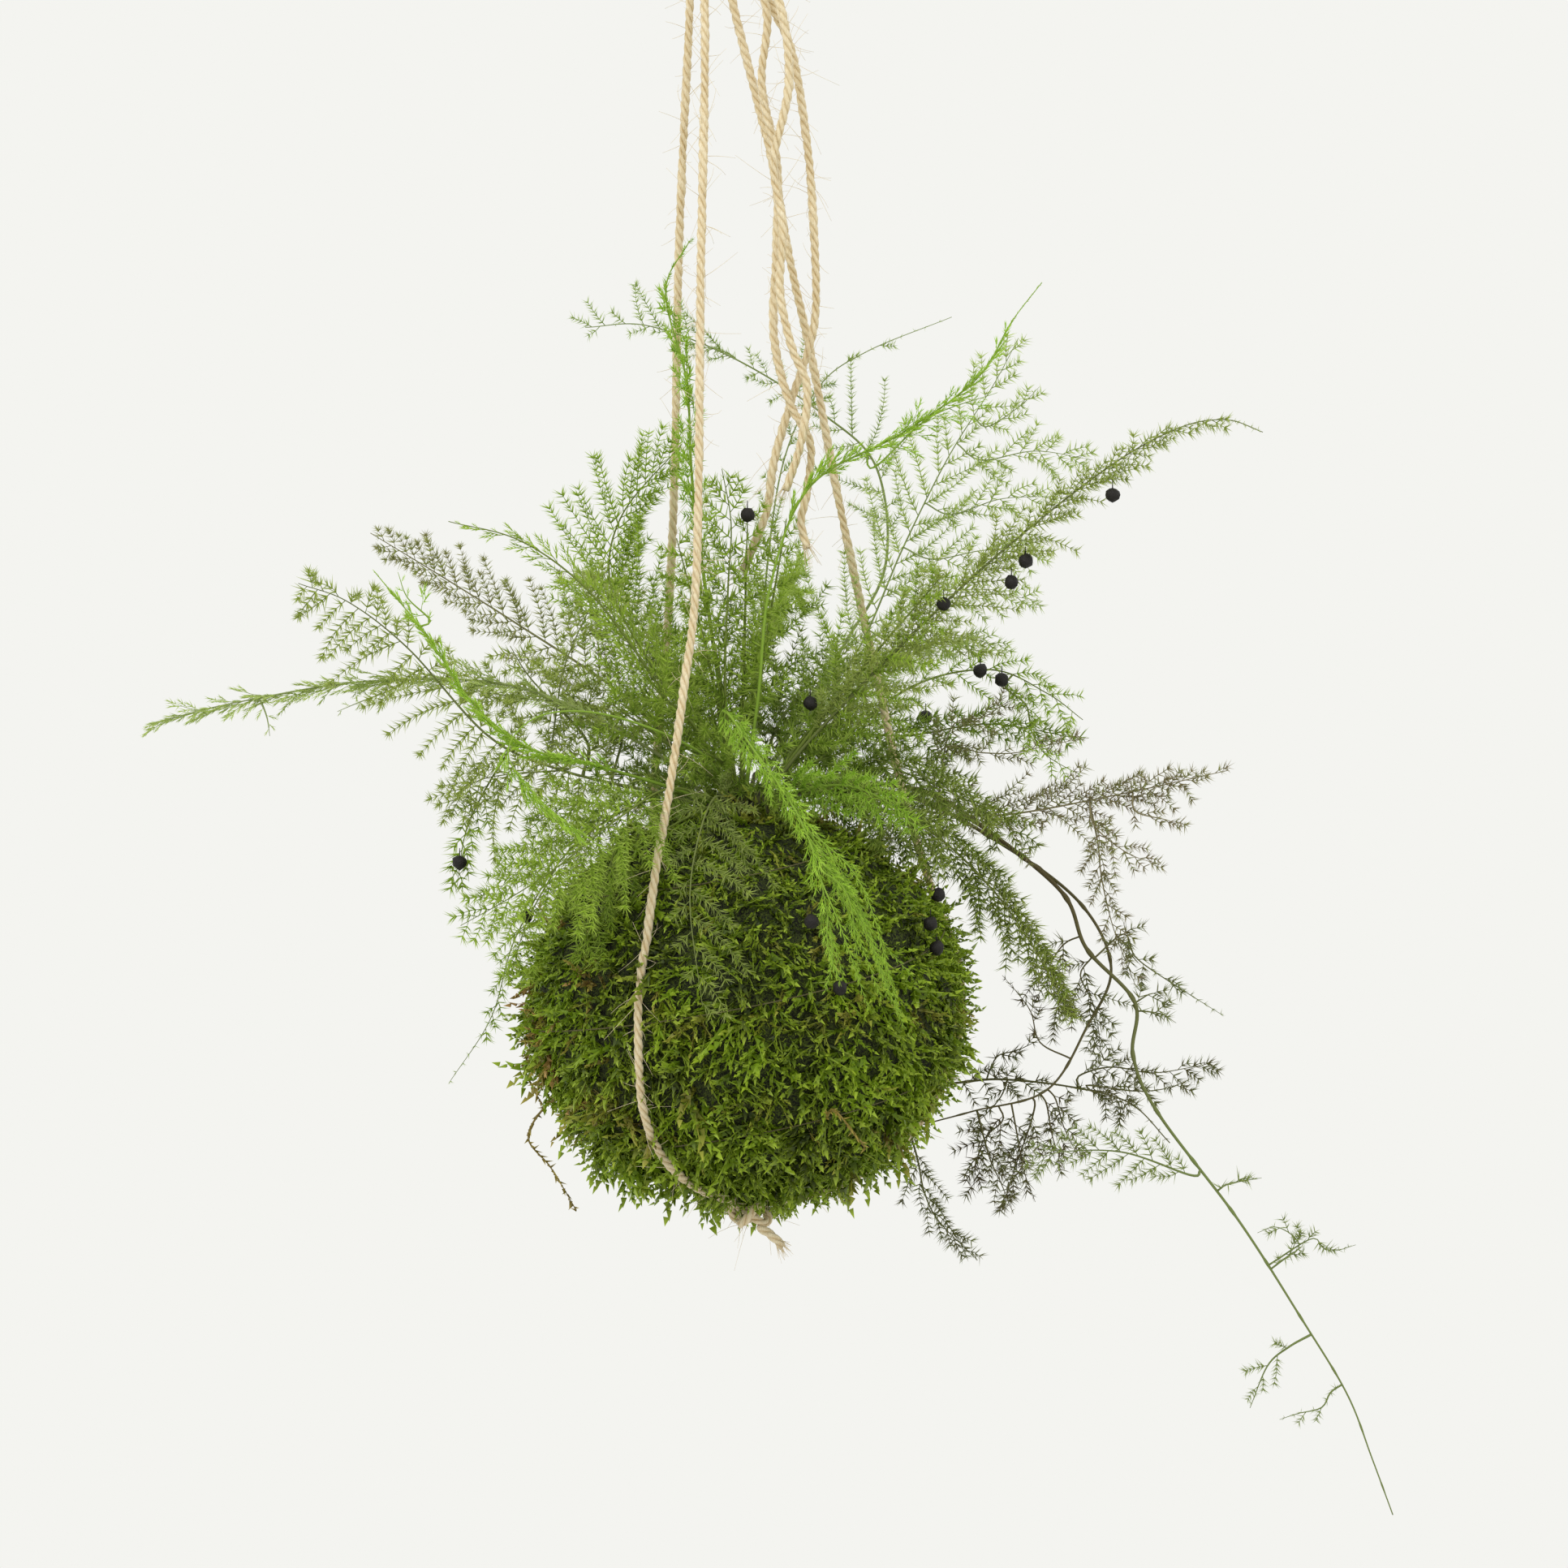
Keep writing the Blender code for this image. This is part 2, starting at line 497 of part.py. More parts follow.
def make_twine():
    """Three strands that carry the ball, and three loose ends of the top knot."""
    reach = UNDER_KNOT_RADII.x + GAP + 0.4 * MM
    routes = {}
    for name, marks in TWINE_ROUTES.items():
        route = keep_off_ball(twine_route(name, marks), TWINE_CLEARANCE)
        routes[name] = stop_at(route, under_knot_centre(), reach)
    for name, marks in LOOSE_ROUTES.items():
        routes[name] = twine_route(name, marks)
    for name, route in routes.items():
        add_tube(name, route, TWINE_DIAMETER, "jute")
    return list(routes.values())


def crown_start(towards):
    """A point just off the crown, high enough on it to pass over the moss's rim."""
    direction = Vector(towards)
    direction.z = max(direction.z, LEAST_RISE * direction.xy.length)
    return CROWN_CENTRE + direction.normalized() * (CROWN_RADIUS + GAP)


def plume_swell(share, bare):
    """0 on the bare stem, quickly 1 where the plume starts, and 0 again at its tip."""
    s = np.clip((share - bare) / max(1 - bare, 0.01), 0, 1)
    return np.minimum(s / 0.25, 1) * (1 - s) ** 0.7


def room_around(route, own, others, twines):
    """Free radius round each point: half way to other stems, and up to the twine and ball."""
    free = np.full(len(route), 1.0)  # a metre, more than any plume needs
    for index, other in enumerate(others):
        if index != own:
            away = np.linalg.norm(route[:, None] - other[None], axis=2).min(axis=1)
            free = np.minimum(free, (away - GAP) / 2)
    for twine in twines:
        away = np.linalg.norm(route[:, None] - twine[None], axis=2).min(axis=1)
        free = np.minimum(free, away - TWINE_DIAMETER / 2 - 2 * GAP)
    offset = (route - np.array(BALL_CENTRE)) / np.array(MOSS_RADII)
    above = (np.linalg.norm(offset, axis=1) - 1) * MOSS_RADII.z
    free = np.minimum(free, above - THREAD_DIAMETER - 2 * GAP)
    return free


def stem_radius(radius, share):
    return radius * MM * (1 - 0.45 * share)


def side_of(heading, flat):
    """The direction of a plume's width: to the back, or across the front view."""
    back = Vector((0, 1, 0))
    side = back if flat else heading.cross(back)
    return (side - heading * heading.dot(side)).normalized()


class Stem:
    """A drawn stem: its rings' places and half widths, for what grows on it."""

    def __init__(self, route, wide, deep, flat):
        self.route, self.wide, self.deep, self.flat = route, wide, deep, flat

    def seat(self, share, towards, clearance):
        """A point off the stem's skin, in the given direction across the stem."""
        at = share * (len(self.route) - 1)
        index = min(int(at), len(self.route) - 2)
        rings = np.arange(len(self.route))
        centre = Vector([np.interp(at, rings, self.route[:, axis]) for axis in range(3)])
        heading = (Vector(self.route[index + 1]) - Vector(self.route[index])).normalized()
        direction = (towards - heading * heading.dot(towards)).normalized()
        side = side_of(heading, self.flat)
        over = heading.cross(side)
        wide, deep = np.interp(at, rings, self.wide), np.interp(at, rings, self.deep)
        reach = 1 / math.hypot(direction.dot(side) / wide, direction.dot(over) / deep)
        return centre + direction * (reach + clearance), centre


def draw_stem(name, route, spec, free):
    """Draws one stem and its plume inside the free radius round it."""
    radius, width, bare, flat, kind = spec
    share = np.linspace(0, 1, len(route))
    stem = stem_radius(radius, share)
    reach = round(FROND_STEP / ROUTE_STEP)
    tight = np.array([free[max(0, i - reach):i + reach + 1].min() for i in range(len(free))])
    swell = plume_swell(share, bare) * width * MM
    wide = np.maximum(np.minimum(stem + swell, tight), stem)
    deep = np.maximum(np.minimum(stem + 0.25 * swell, tight), stem)
    count = max(3, round(len(route) * ROUTE_STEP / FROND_STEP) + 1)
    pick = np.linspace(0, len(route) - 1, count).round().astype(int)
    sides = [side_of(Vector(step).normalized(), flat) for step in np.gradient(route[pick], axis=0)]
    add_sweep(name, route[pick], wide[pick], deep[pick], sides, kind)
    return Stem(route[pick], wide[pick], deep[pick], flat)


def make_fronds(twines):
    """Every stem with its plume, then the sprays that branch off them."""
    routes = {}
    for name, spec in FRONDS.items():
        marks = spec[-1]
        points = [crown_start(marks[0])] + [CROWN_CENTRE + Vector(mark) * MM for mark in marks]
        routes[name] = smooth_route(points, ROUTE_STEP)
    stems = {}
    for index, (name, route) in enumerate(routes.items()):
        free = room_around(route, index, routes.values(), twines)
        stems[name] = draw_stem(name, route, FRONDS[name][:-1], free)
    for name, (host, share, radius, width, kind, marks) in SPRAYS.items():
        points = [CROWN_CENTRE + Vector(mark) * MM for mark in marks]
        centre = stems[host].seat(share, Vector((0, 0, 1)), 0)[1]
        start = stems[host].seat(share, points[0] - centre, 1.8 * GAP)[0]
        route = smooth_route([start] + points, ROUTE_STEP)
        free = np.linalg.norm(route - np.array(centre), axis=1) / 2
        stems[name] = draw_stem(name, route, (radius, width, 0.2, False, kind), free)
    return stems


def make_berries(stems):
    bm = bmesh.new()
    bmesh.ops.create_icosphere(bm, subdivisions=2, radius=BERRY_RADIUS)
    pattern = close_mesh("berry_pattern", bm, "berry")
    for name, (host, share, towards) in BERRIES.items():
        berry = place(name, pattern.data, "berry")
        berry.location = stems[host].seat(share, Vector(towards), 1.8 * GAP + BERRY_RADIUS)[0]
    bpy.data.objects.remove(pattern, do_unlink=True)


clear_scene()
make_crown("root_crown", 0)
make_soil_ball()
make_moss_cover()
make_binding_thread()
make_knots()
twine_routes = make_twine()
stems = make_fronds(twine_routes)
make_berries(stems)
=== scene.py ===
# Kokedama: an asparagus fern rooted in a moss-wrapped ball of soil, hung in a sling of jute twine.
import json
import math

import bmesh
import bpy
import numpy as np
from mathutils import Matrix, Vector, kdtree, noise

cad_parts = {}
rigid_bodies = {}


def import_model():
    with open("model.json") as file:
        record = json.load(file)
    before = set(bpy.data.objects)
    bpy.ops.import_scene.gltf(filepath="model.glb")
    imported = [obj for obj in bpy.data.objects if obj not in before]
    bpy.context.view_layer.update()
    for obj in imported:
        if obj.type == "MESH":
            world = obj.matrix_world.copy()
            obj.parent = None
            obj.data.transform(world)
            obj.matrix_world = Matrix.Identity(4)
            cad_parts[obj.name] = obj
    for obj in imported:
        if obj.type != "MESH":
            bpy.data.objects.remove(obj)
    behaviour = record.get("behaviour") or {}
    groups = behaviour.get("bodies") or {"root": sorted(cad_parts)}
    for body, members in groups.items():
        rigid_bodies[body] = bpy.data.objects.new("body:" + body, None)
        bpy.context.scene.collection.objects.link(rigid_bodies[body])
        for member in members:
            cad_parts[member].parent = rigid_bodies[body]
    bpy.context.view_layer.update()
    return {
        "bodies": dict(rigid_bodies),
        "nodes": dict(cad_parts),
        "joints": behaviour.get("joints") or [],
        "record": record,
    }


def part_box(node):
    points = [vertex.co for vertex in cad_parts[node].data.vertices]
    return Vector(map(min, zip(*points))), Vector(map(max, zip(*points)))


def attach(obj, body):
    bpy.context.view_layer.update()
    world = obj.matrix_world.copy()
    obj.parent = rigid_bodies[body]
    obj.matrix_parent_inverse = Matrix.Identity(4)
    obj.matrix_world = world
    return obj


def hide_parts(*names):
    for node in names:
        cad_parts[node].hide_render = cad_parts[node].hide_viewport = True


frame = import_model()
mm = 0.001  # lengths in the dictionaries are in millimetres unless they say otherwise
upward = np.array([0, 0, 1.0])
backward = np.array([0, 1.0, 0])

# Studio: camera level with the plant, an even pale surround, one soft key from the upper left and a
# weaker fill from the right
studio = {
    "cameraPlace": (28.4, -1500, -348.6),
    "lens": 103.4,
    "sensorWidth": 36,
    "surround": "F4F4F0",
    "floorHeight": -3.0,  # metres; the planter hangs well above the floor
    "floorRadius": 12,
    "floorColours": ("E2E2DE", "E8E8E5"),
    "lights": {"key": ((-900, -1500, 900), 1.1, 14),  # place, size in metres, power in watts
               "fill": ((1300, -700, 500), 1.4, 4)},
    "lightTarget": (28, 0, -340),
}


# An sRGB hex colour as the linear colour that shaders take
def colour(code):
    parts = [int(code[i:i + 2], 16) / 255 for i in (0, 2, 4)]
    return (*[c / 12.92 if c <= 0.04045 else ((c + 0.055) / 1.055) ** 2.4 for c in parts], 1)


# Adds one node: settings are its own properties or its sockets' values, with colours as hex codes, and
# links are what feeds it. A colour Mix has its factor at socket 0 and its colours at 6 and 7, and gives
# the result at output 2
def addNode(tree, kind, settings=None, links=None):
    node = tree.nodes.new("ShaderNode" + kind)
    for key, value in (settings or {}).items():
        if isinstance(key, str) and hasattr(node, key):
            setattr(node, key, value)
        else:
            node.inputs[key].default_value = colour(value) if isinstance(value, str) else value
    for key, socket in (links or {}).items():
        tree.links.new(socket, node.inputs[key])
    return node


# A material with values of its shader: the material, the tree its nodes go in, and that shader
def newMaterial(name, **values):
    material = bpy.data.materials.new(name)
    material.use_nodes = True
    shader = material.node_tree.nodes["Principled BSDF"]
    for key, value in values.items():
        shader.inputs[key].default_value = value
    return material, material.node_tree, shader


# A finish of two colours mixed by one pattern on the object; relief is the strength and the height, in
# millimetres, of its bumps
def grainedMaterial(name, pattern, settings, output, colours, relief=None, **values):
    material, tree, shader = newMaterial(name, **values)
    place = addNode(tree, "TexCoord")
    grain = addNode(tree, pattern, settings, {"Vector": place.outputs["Object"]})
    mixed = addNode(tree, "Mix", {"data_type": "RGBA", 6: colours[0], 7: colours[1]},
                    {0: grain.outputs[output]})
    tree.links.new(mixed.outputs[2], shader.inputs["Base Color"])
    if relief:
        bump = addNode(tree, "Bump", {"Strength": relief[0], "Distance": relief[1] * mm},
                       {"Height": grain.outputs[output]})
        tree.links.new(bump.outputs["Normal"], shader.inputs["Normal"])
    return material


# An area light that shines on the middle of the plant
def aimedLight(name, place, size, power):
    light = bpy.data.lights.new(name, "AREA")
    light.size = size
    light.energy = power
    lamp = bpy.data.objects.new(name, light)
    lamp.location = Vector(place) * mm
    target = Vector(studio["lightTarget"]) * mm
    lamp.rotation_euler = (target - lamp.location).to_track_quat("-Z", "Y").to_euler()
    bpy.context.collection.objects.link(lamp)


def makeStudio():
    camera = bpy.data.objects.new("camera", bpy.data.cameras.new("camera"))
    camera.data.sensor_width = studio["sensorWidth"]
    camera.data.lens = studio["lens"]
    camera.location = Vector(studio["cameraPlace"]) * mm
    camera.rotation_euler = (math.pi / 2, 0, 0)
    bpy.context.collection.objects.link(camera)
    bpy.context.scene.camera = camera
    bpy.context.scene.view_settings.view_transform = "Standard"

    world = bpy.data.worlds.new("surround")
    bpy.context.scene.world = world
    world.use_nodes = True
    world.node_tree.nodes["Background"].inputs["Color"].default_value = colour(studio["surround"])
    for name, light in studio["lights"].items():
        aimedLight(name, *light)

    bm = bmesh.new()
    bmesh.ops.create_circle(bm, cap_ends=True, segments=128, radius=studio["floorRadius"])
    bmesh.ops.translate(bm, verts=bm.verts, vec=(0, 0, studio["floorHeight"]))
    mesh = bpy.data.meshes.new("floor")
    bm.to_mesh(mesh)
    bm.free()
    floor = bpy.data.objects.new("floor", mesh)
    bpy.context.collection.objects.link(floor)
    # Matt painted floor: pale, with a barely seen mottle
    material, tree, shader = newMaterial("paintedFloor", Roughness=0.9)
    darker, paler = studio["floorColours"]
    mottle = addNode(tree, "TexNoise", {"Scale": 3.0, "Detail": 4.0})
    paint = addNode(tree, "Mix", {"data_type": "RGBA", 6: darker, 7: paler}, {0: mottle.outputs["Fac"]})
    tree.links.new(paint.outputs[2], shader.inputs["Base Color"])
    mesh.materials.append(material)


makeStudio()
print("studio ready")


# Unit vectors, row by row
def unit(rows):
    rows = np.asarray(rows, float)
    return rows / np.maximum(np.linalg.norm(rows, axis=-1, keepdims=True), 1e-12)


# A Catmull-Rom curve through the points, read at even steps
def smoothRoute(points, step):
    points = np.array([tuple(point) for point in points], dtype=float)
    chain = np.vstack([2 * points[0] - points[1], points, 2 * points[-1] - points[-2]])
    t = np.linspace(0, 1, 24, endpoint=False)[:, None]
    fine = []
    for a, b, c, d in zip(chain, chain[1:], chain[2:], chain[3:]):
        fine.append(0.5 * (2 * b + (c - a) * t + (2 * a - 5 * b + 4 * c - d) * t ** 2
                           + (3 * b - a - 3 * c + d) * t ** 3))
    fine = np.vstack([*fine, points[-1:]])
    along = alongRoute(fine)
    stops = np.linspace(0, along[-1], max(3, round(along[-1] / step) + 1))
    return np.column_stack([np.interp(stops, along, fine[:, axis]) for axis in range(3)])


# Distance from the start to each point of a route
def alongRoute(route):
    return np.concatenate([[0], np.cumsum(np.linalg.norm(np.diff(route, axis=0), axis=1))])


# Headings along a route with two cross directions that don't twist
def carriedFrames(route):
    headings = unit(np.gradient(route, axis=0))
    side = np.cross(headings[0], backward if abs(headings[0][1]) < 0.9 else upward)
    sides = []
    for heading in headings:
        side = unit(side - heading * side.dot(heading))
        sides.append(side)
    sides = np.array(sides)
    return headings, sides, np.cross(headings, sides)


# Points and triangles of a finished bmesh
def arraysOf(bm):
    bmesh.ops.triangulate(bm, faces=bm.faces)
    bm.verts.index_update()
    points = np.array([vert.co for vert in bm.verts])
    faces = np.array([[vert.index for vert in face.verts] for face in bm.faces])
    bm.free()
    return points, faces


# A closed three-sided cone, one long and one in radius: needles, leaves and fine stalks are copies of it
def conePattern():
    bm = bmesh.new()
    bmesh.ops.create_cone(bm, cap_ends=True, segments=3, radius1=1, radius2=0, depth=1,
                          matrix=Matrix.Translation((0, 0, 0.5)))
    bmesh.ops.remove_doubles(bm, verts=bm.verts, dist=0.001)
    bmesh.ops.recalc_face_normals(bm, faces=bm.faces)
    return arraysOf(bm)


cone = conePattern()


# Where copies of a pattern go: rows of (side, over, heading, place), scaled
def framesAt(places, headings, sides, wide, thick, long):
    headings = unit(headings)
    sides = np.asarray(sides, float)
    sides = unit(sides - headings * (sides * headings).sum(-1, keepdims=True))
    overs = np.cross(headings, sides)
    wide, thick, long = [np.broadcast_to(np.asarray(size, float), len(headings))[:, None]
                         for size in (wide, thick, long)]
    return np.stack([sides * wide, overs * thick, headings * long, np.asarray(places, float)], axis=2)


tubeTip = 0.3  # stems and hairs are this far towards the colour of a tip


# Gathers copies and tubes into one mesh. Each point keeps four values for the material:
# tone 0 to 1, tip 0 at the foot of a leaf to 1 at its point, stem 0 to 1, dry 0 to 1
class Growth:
    def __init__(self):
        self.points, self.faces, self.values, self.smooth, self.count = [], [], [], [], 0

    def add(self, points, faces, values, smooth=False):
        self.points.append(points)
        self.faces.append(faces + self.count)
        self.values.append(values)
        self.smooth.append(np.full(len(faces), smooth))
        self.count += len(points)

    # Copies of a pattern, which is points, triangles and, where they aren't just the height, the tips
    def addCopies(self, pattern, frames, tone, dry=0.0):
        points, faces = pattern[0], pattern[1]
        tips = pattern[2] if len(pattern) > 2 else points[:, 2]
        copies, size = len(frames), len(points)
        moved = np.einsum("kij,vj->kvi", frames[:, :, :3], points) + frames[:, None, :, 3]
        joined = faces[None] + (np.arange(copies) * size)[:, None, None]
        values = np.zeros((copies, size, 4))
        values[..., 0] = np.broadcast_to(np.asarray(tone, float), copies)[:, None]
        values[..., 1] = tips
        values[..., 3] = np.broadcast_to(np.asarray(dry, float), copies)[:, None]
        self.add(moved.reshape(-1, 3), joined.reshape(-1, 3), values.reshape(-1, 4))

    def addTubes(self, lines, sides, tone, dry=0.0):
        points, faces = tubes(lines, sides)
        self.add(points, faces, np.tile([tone, tubeTip, 1.0, dry], (len(points), 1)), True)

    def pattern(self):
        return np.concatenate(self.points), np.concatenate(self.faces), np.concatenate(self.values)[:, 1]


# Closed round tubes along lines of (points, radii), by a bevelled curve; sides is 4, 6 or 8
def tubes(lines, sides):
    curve = bpy.data.curves.new("lines", "CURVE")
    curve.dimensions = "3D"
    curve.bevel_depth = 1
    curve.bevel_resolution = sides // 2 - 2
    curve.use_fill_caps = True
    for points, radii in lines:
        spline = curve.splines.new("POLY")
        spline.points.add(len(points) - 1)
        spline.points.foreach_set("co", np.column_stack([points, np.ones(len(points))]).ravel())
        spline.points.foreach_set("radius", np.asarray(radii, float))
    holder = bpy.data.objects.new("lines", curve)
    bpy.context.collection.objects.link(holder)
    mesh = bpy.data.meshes.new_from_object(holder.evaluated_get(bpy.context.evaluated_depsgraph_get()))
    bm = bmesh.new()
    bm.from_mesh(mesh)
    bmesh.ops.remove_doubles(bm, verts=bm.verts, dist=0.002 * mm)
    bpy.data.objects.remove(holder)
    bpy.data.curves.remove(curve)
    bpy.data.meshes.remove(mesh)
    return arraysOf(bm)


triangleCount = 0


# Turns gathered growth into a piece
def finishPiece(name, growth, material, nodes=()):
    mesh = bpy.data.meshes.new(name)
    mesh.from_pydata(np.concatenate(growth.points), [], np.concatenate(growth.faces))
    mesh.polygons.foreach_set("use_smooth", np.concatenate(growth.smooth))
    values = mesh.attributes.new("growth", "FLOAT_COLOR", "POINT")
    values.data.foreach_set("color", np.concatenate(growth.values).ravel())
    mesh.materials.append(material)
    return placePiece(name, mesh, nodes)


# Puts a piece on the plant, where it stands for its CAD nodes
def placePiece(name, mesh, nodes):
    global triangleCount
    piece = bpy.data.objects.new(name, mesh)
    bpy.context.collection.objects.link(piece)
    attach(piece, "root")
    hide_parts(*nodes)
    triangleCount += sum(len(face.vertices) - 2 for face in mesh.polygons)
    return piece


# Jute twine: three plies of coarse bast fibre, laid right-handed, with stray hairs
twine = {
    "diameter": 3.1,
    "turnLength": 11.5,  # along the twine for one full turn of a ply
    "plies": 3,
    "plyRadius": 0.84,
    "plyOffset": 0.72,
    "grooveReach": 0.75,  # from the middle of the twine to the bottom of the groove between plies
    "grooveDepth": 0.8,
    "swellGap": 7,  # the yarn was spun unevenly, over such lengths
    "swell": 0.09,
    "plySwell": 0.05,
    "step": 1.7,
    "hairGap": 1.9,  # one stray hair in each such length
    "hairLength": (3, 15),
    "hairRadius": 0.085,
    "fray": {"count": 16, "reach": 11, "spread": 0.5},
    "fibreRadii": (0.07, 0.14),
    "colours": ("DECA9C", "F4E8C8"),
    "fibreColours": ("C4AC7C", "FDF3DC"),
    # painted shade: the colour at the bottom of the grooves between the plies
    "grooveShadeColour": "BCA068",
    "ballClearance": 2.75,
    "strands": {
        "twine_front": [
            (2, -9, -89), (1, -22, -185), (0, -38, -279), (-4, -46, -318), (-8, -54, -348),
            (-13, -61, -379), (-16, -64, -406), (-17, -64, -432), (-15, -54, -455), (-9, -43, -470),
            (2, -30, -481), (17, -16, -486)],
        "twine_right": [
            (11, 1, -87), (19, 2, -119), (25, 3, -143), (30, 4, -172), (38, 6, -208), (47, 8, -255),
            (58, 11, -306), (70, 14, -358), (81, 15, -393), (88, 15, -422), (77, 10, -455),
            (57, 0, -475), (36, -8, -483), (17, -16, -486)],
        "twine_back": [
            (-3, 6, -86), (-7, 20, -166), (-9, 35, -247), (-12, 46, -302), (-16, 55, -344),
            (-17, 60, -382), (-18, 60, -405), (-16, 66, -422), (-10, 56, -455), (0, 36, -475),
            (10, 12, -484), (17, -16, -486)],
    },
    "looseEnds": {
        "loose_end_long": [
            (11, -6, -62), (23, -7, -88), (31, -7, -106), (36, -7, -136), (38, -7, -160),
            (39, -7, -188), (37, -7, -203), (31, -7, -221), (25, -8, -242), (23, -9, -257),
            (19, -10, -268), (15, -11, -278)],
        "loose_end_middle": [
            (5, -13, -60), (22, -13, -90), (21, -13, -118), (26, -13, -143), (26, -13, -170),
            (25, -13, -200), (30, -13, -222), (37, -14, -236), (36, -15, -252), (34, -16, -262),
            (36, -17, -271)],
        "loose_end_short": [
            (16, -19, -66), (27, -18, -92), (30, -18, -118), (25, -18, -144), (28, -18, -165),
            (27, -18, -186), (31, -18, -205), (36, -18, -218), (34, -19, -236), (29, -19, -252)],
    },
    # degrees round the top knot at which each twine leaves it
    "exits": {"loose_end_long": 0, "twine_right": 60, "twine_back": 120, "twine_front": 180,
              "loose_end_middle": 240, "loose_end_short": 300},
    "exitRing": 3.7,
    "exitHeight": -36.45,
    "firstDrop": 9.3,
    "knotReach": 8.2,
}

# The outline of the moss, the crown of the fern in its top and the knot under it
ballCentre = np.array([15, 0, -421]) * mm
ballRadii = np.array([72, 72, 64.5]) * mm
crownCentre = np.array([14, 0, -363]) * mm
underKnotLow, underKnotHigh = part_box("under_knot")
underKnotCentre = np.array((underKnotLow + underKnotHigh) / 2)


# Points inside the moss, or too near it, move out to the clearance
def keepOffBall(route, clearance):
    offset = route - ballCentre
    depth = np.linalg.norm(offset / (ballRadii + clearance), axis=1, keepdims=True)
    return ballCentre + offset / np.minimum(depth, 1)


# Cuts a route off where it first comes within the radius of a centre
def stopAt(route, centre, radius):
    inside = np.nonzero(np.linalg.norm(route - centre, axis=1) < radius)[0]
    return route[:inside[0]] if len(inside) else route


def twineRoute(name, marks):
    turn = math.radians(twine["exits"][name])
    ring = twine["exitRing"]
    start = np.array([ring * math.cos(turn), ring * math.sin(turn), twine["exitHeight"]])
    points = [start, start - [0, 0, twine["firstDrop"]], *marks]
    return smoothRoute(np.array(points) * mm, twine["step"] * mm)


# Plies of a twine along a route, as lines for tubes()
def plyLines(route, random):
    headings, sides, overs = carriedFrames(route)
    along = alongRoute(route)
    phase = random.uniform(0, math.tau)
    swells = max(3, int(along[-1] / (twine["swellGap"] * mm)))
    swell = np.interp(along, np.linspace(0, along[-1], swells),
                      1 + twine["swell"] * random.standard_normal(swells))
    lines = []
    for ply in range(twine["plies"]):
        turn = phase - math.tau * (along / (twine["turnLength"] * mm) + ply / twine["plies"])
        out = sides * np.cos(turn)[:, None] + overs * np.sin(turn)[:, None]
        plySwell = swell * (1 + twine["plySwell"] * random.standard_normal(len(route)))
        lines.append((route + out * twine["plyOffset"] * mm, twine["plyRadius"] * mm * plySwell))
    return lines


# How far out of the groove between the plies each point is: 0 at its bottom, in full painted shade, 1 on the
# back of a ply, without it
def grooveShadeMask(points, route):
    tree = kdtree.KDTree(len(route))
    for index, point in enumerate(route):
        tree.insert(point, index)
    tree.balance()
    away = np.array([tree.find(point)[2] for point in points]) / mm
    return np.clip((away - twine["grooveReach"]) / twine["grooveDepth"], 0, 1)


# Thin curved hairs that leave a route in random directions
def strayHairs(route, random, gap):
    headings, sides, overs = carriedFrames(route)
    length = alongRoute(route)[-1]
    t = np.linspace(0, 1, 4)[:, None]
    lines = []
    for index in range(max(2, round(length / (gap * mm)))):
        at = random.integers(0, len(route))
        turn = random.uniform(0, math.tau)
        out = sides[at] * math.cos(turn) + overs[at] * math.sin(turn)
        reach = random.uniform(*twine["hairLength"]) * random.uniform(0.4, 1) * mm  # most are short
        heading = unit(headings[at] * random.uniform(-1.2, 1.2) + out * random.uniform(0.5, 1.0))
        bend = unit(random.standard_normal(3)) * random.uniform(0.2, 1.1)
        foot = route[at] + out * 0.4 * twine["diameter"] * mm  # just under the skin of the twine
        points = foot + reach * (heading * t + bend * 0.5 * t ** 2)
        lines.append((points, twine["hairRadius"] * mm * np.linspace(1, 0.5, len(t))))
    return lines


# Loose fibres where a cut twine has opened
def frayedEnd(route, random, count, reach, spread):
    end, heading = route[-1], unit(route[-1] - route[-3])
    t = np.linspace(0, 1, 7)[:, None]
    lines = []
    for index in range(count):
        out = random.standard_normal(3)
        out = unit(out - heading * out.dot(heading))
        start = end + out * random.uniform(0.1, 1.1) * mm - heading * 2.5 * mm  # inside the last turn
        long = random.uniform(0.45, 1) * reach * mm
        away = unit(heading + out * random.uniform(0.0, spread))
        bend = unit(random.standard_normal(3)) * random.uniform(0.1, 0.5)
        points = start + long * (away * t + bend * 0.4 * t ** 2)
        lines.append((points, random.uniform(*twine["fibreRadii"]) * mm * np.linspace(1, 0.4, len(t))))
    return lines


# What the materials of twisted and grown things read: the four values on each point, and its place
def pointValues(tree):
    growth = addNode(tree, "Attribute", {"attribute_name": "growth"})
    part = addNode(tree, "SeparateColor", {}, {"Color": growth.outputs["Color"]})
    place = addNode(tree, "TexCoord")
    return {"tone": part.outputs["Red"], "tip": part.outputs["Green"], "stem": part.outputs["Blue"],
            "dry": growth.outputs["Alpha"], "place": place.outputs["Object"]}


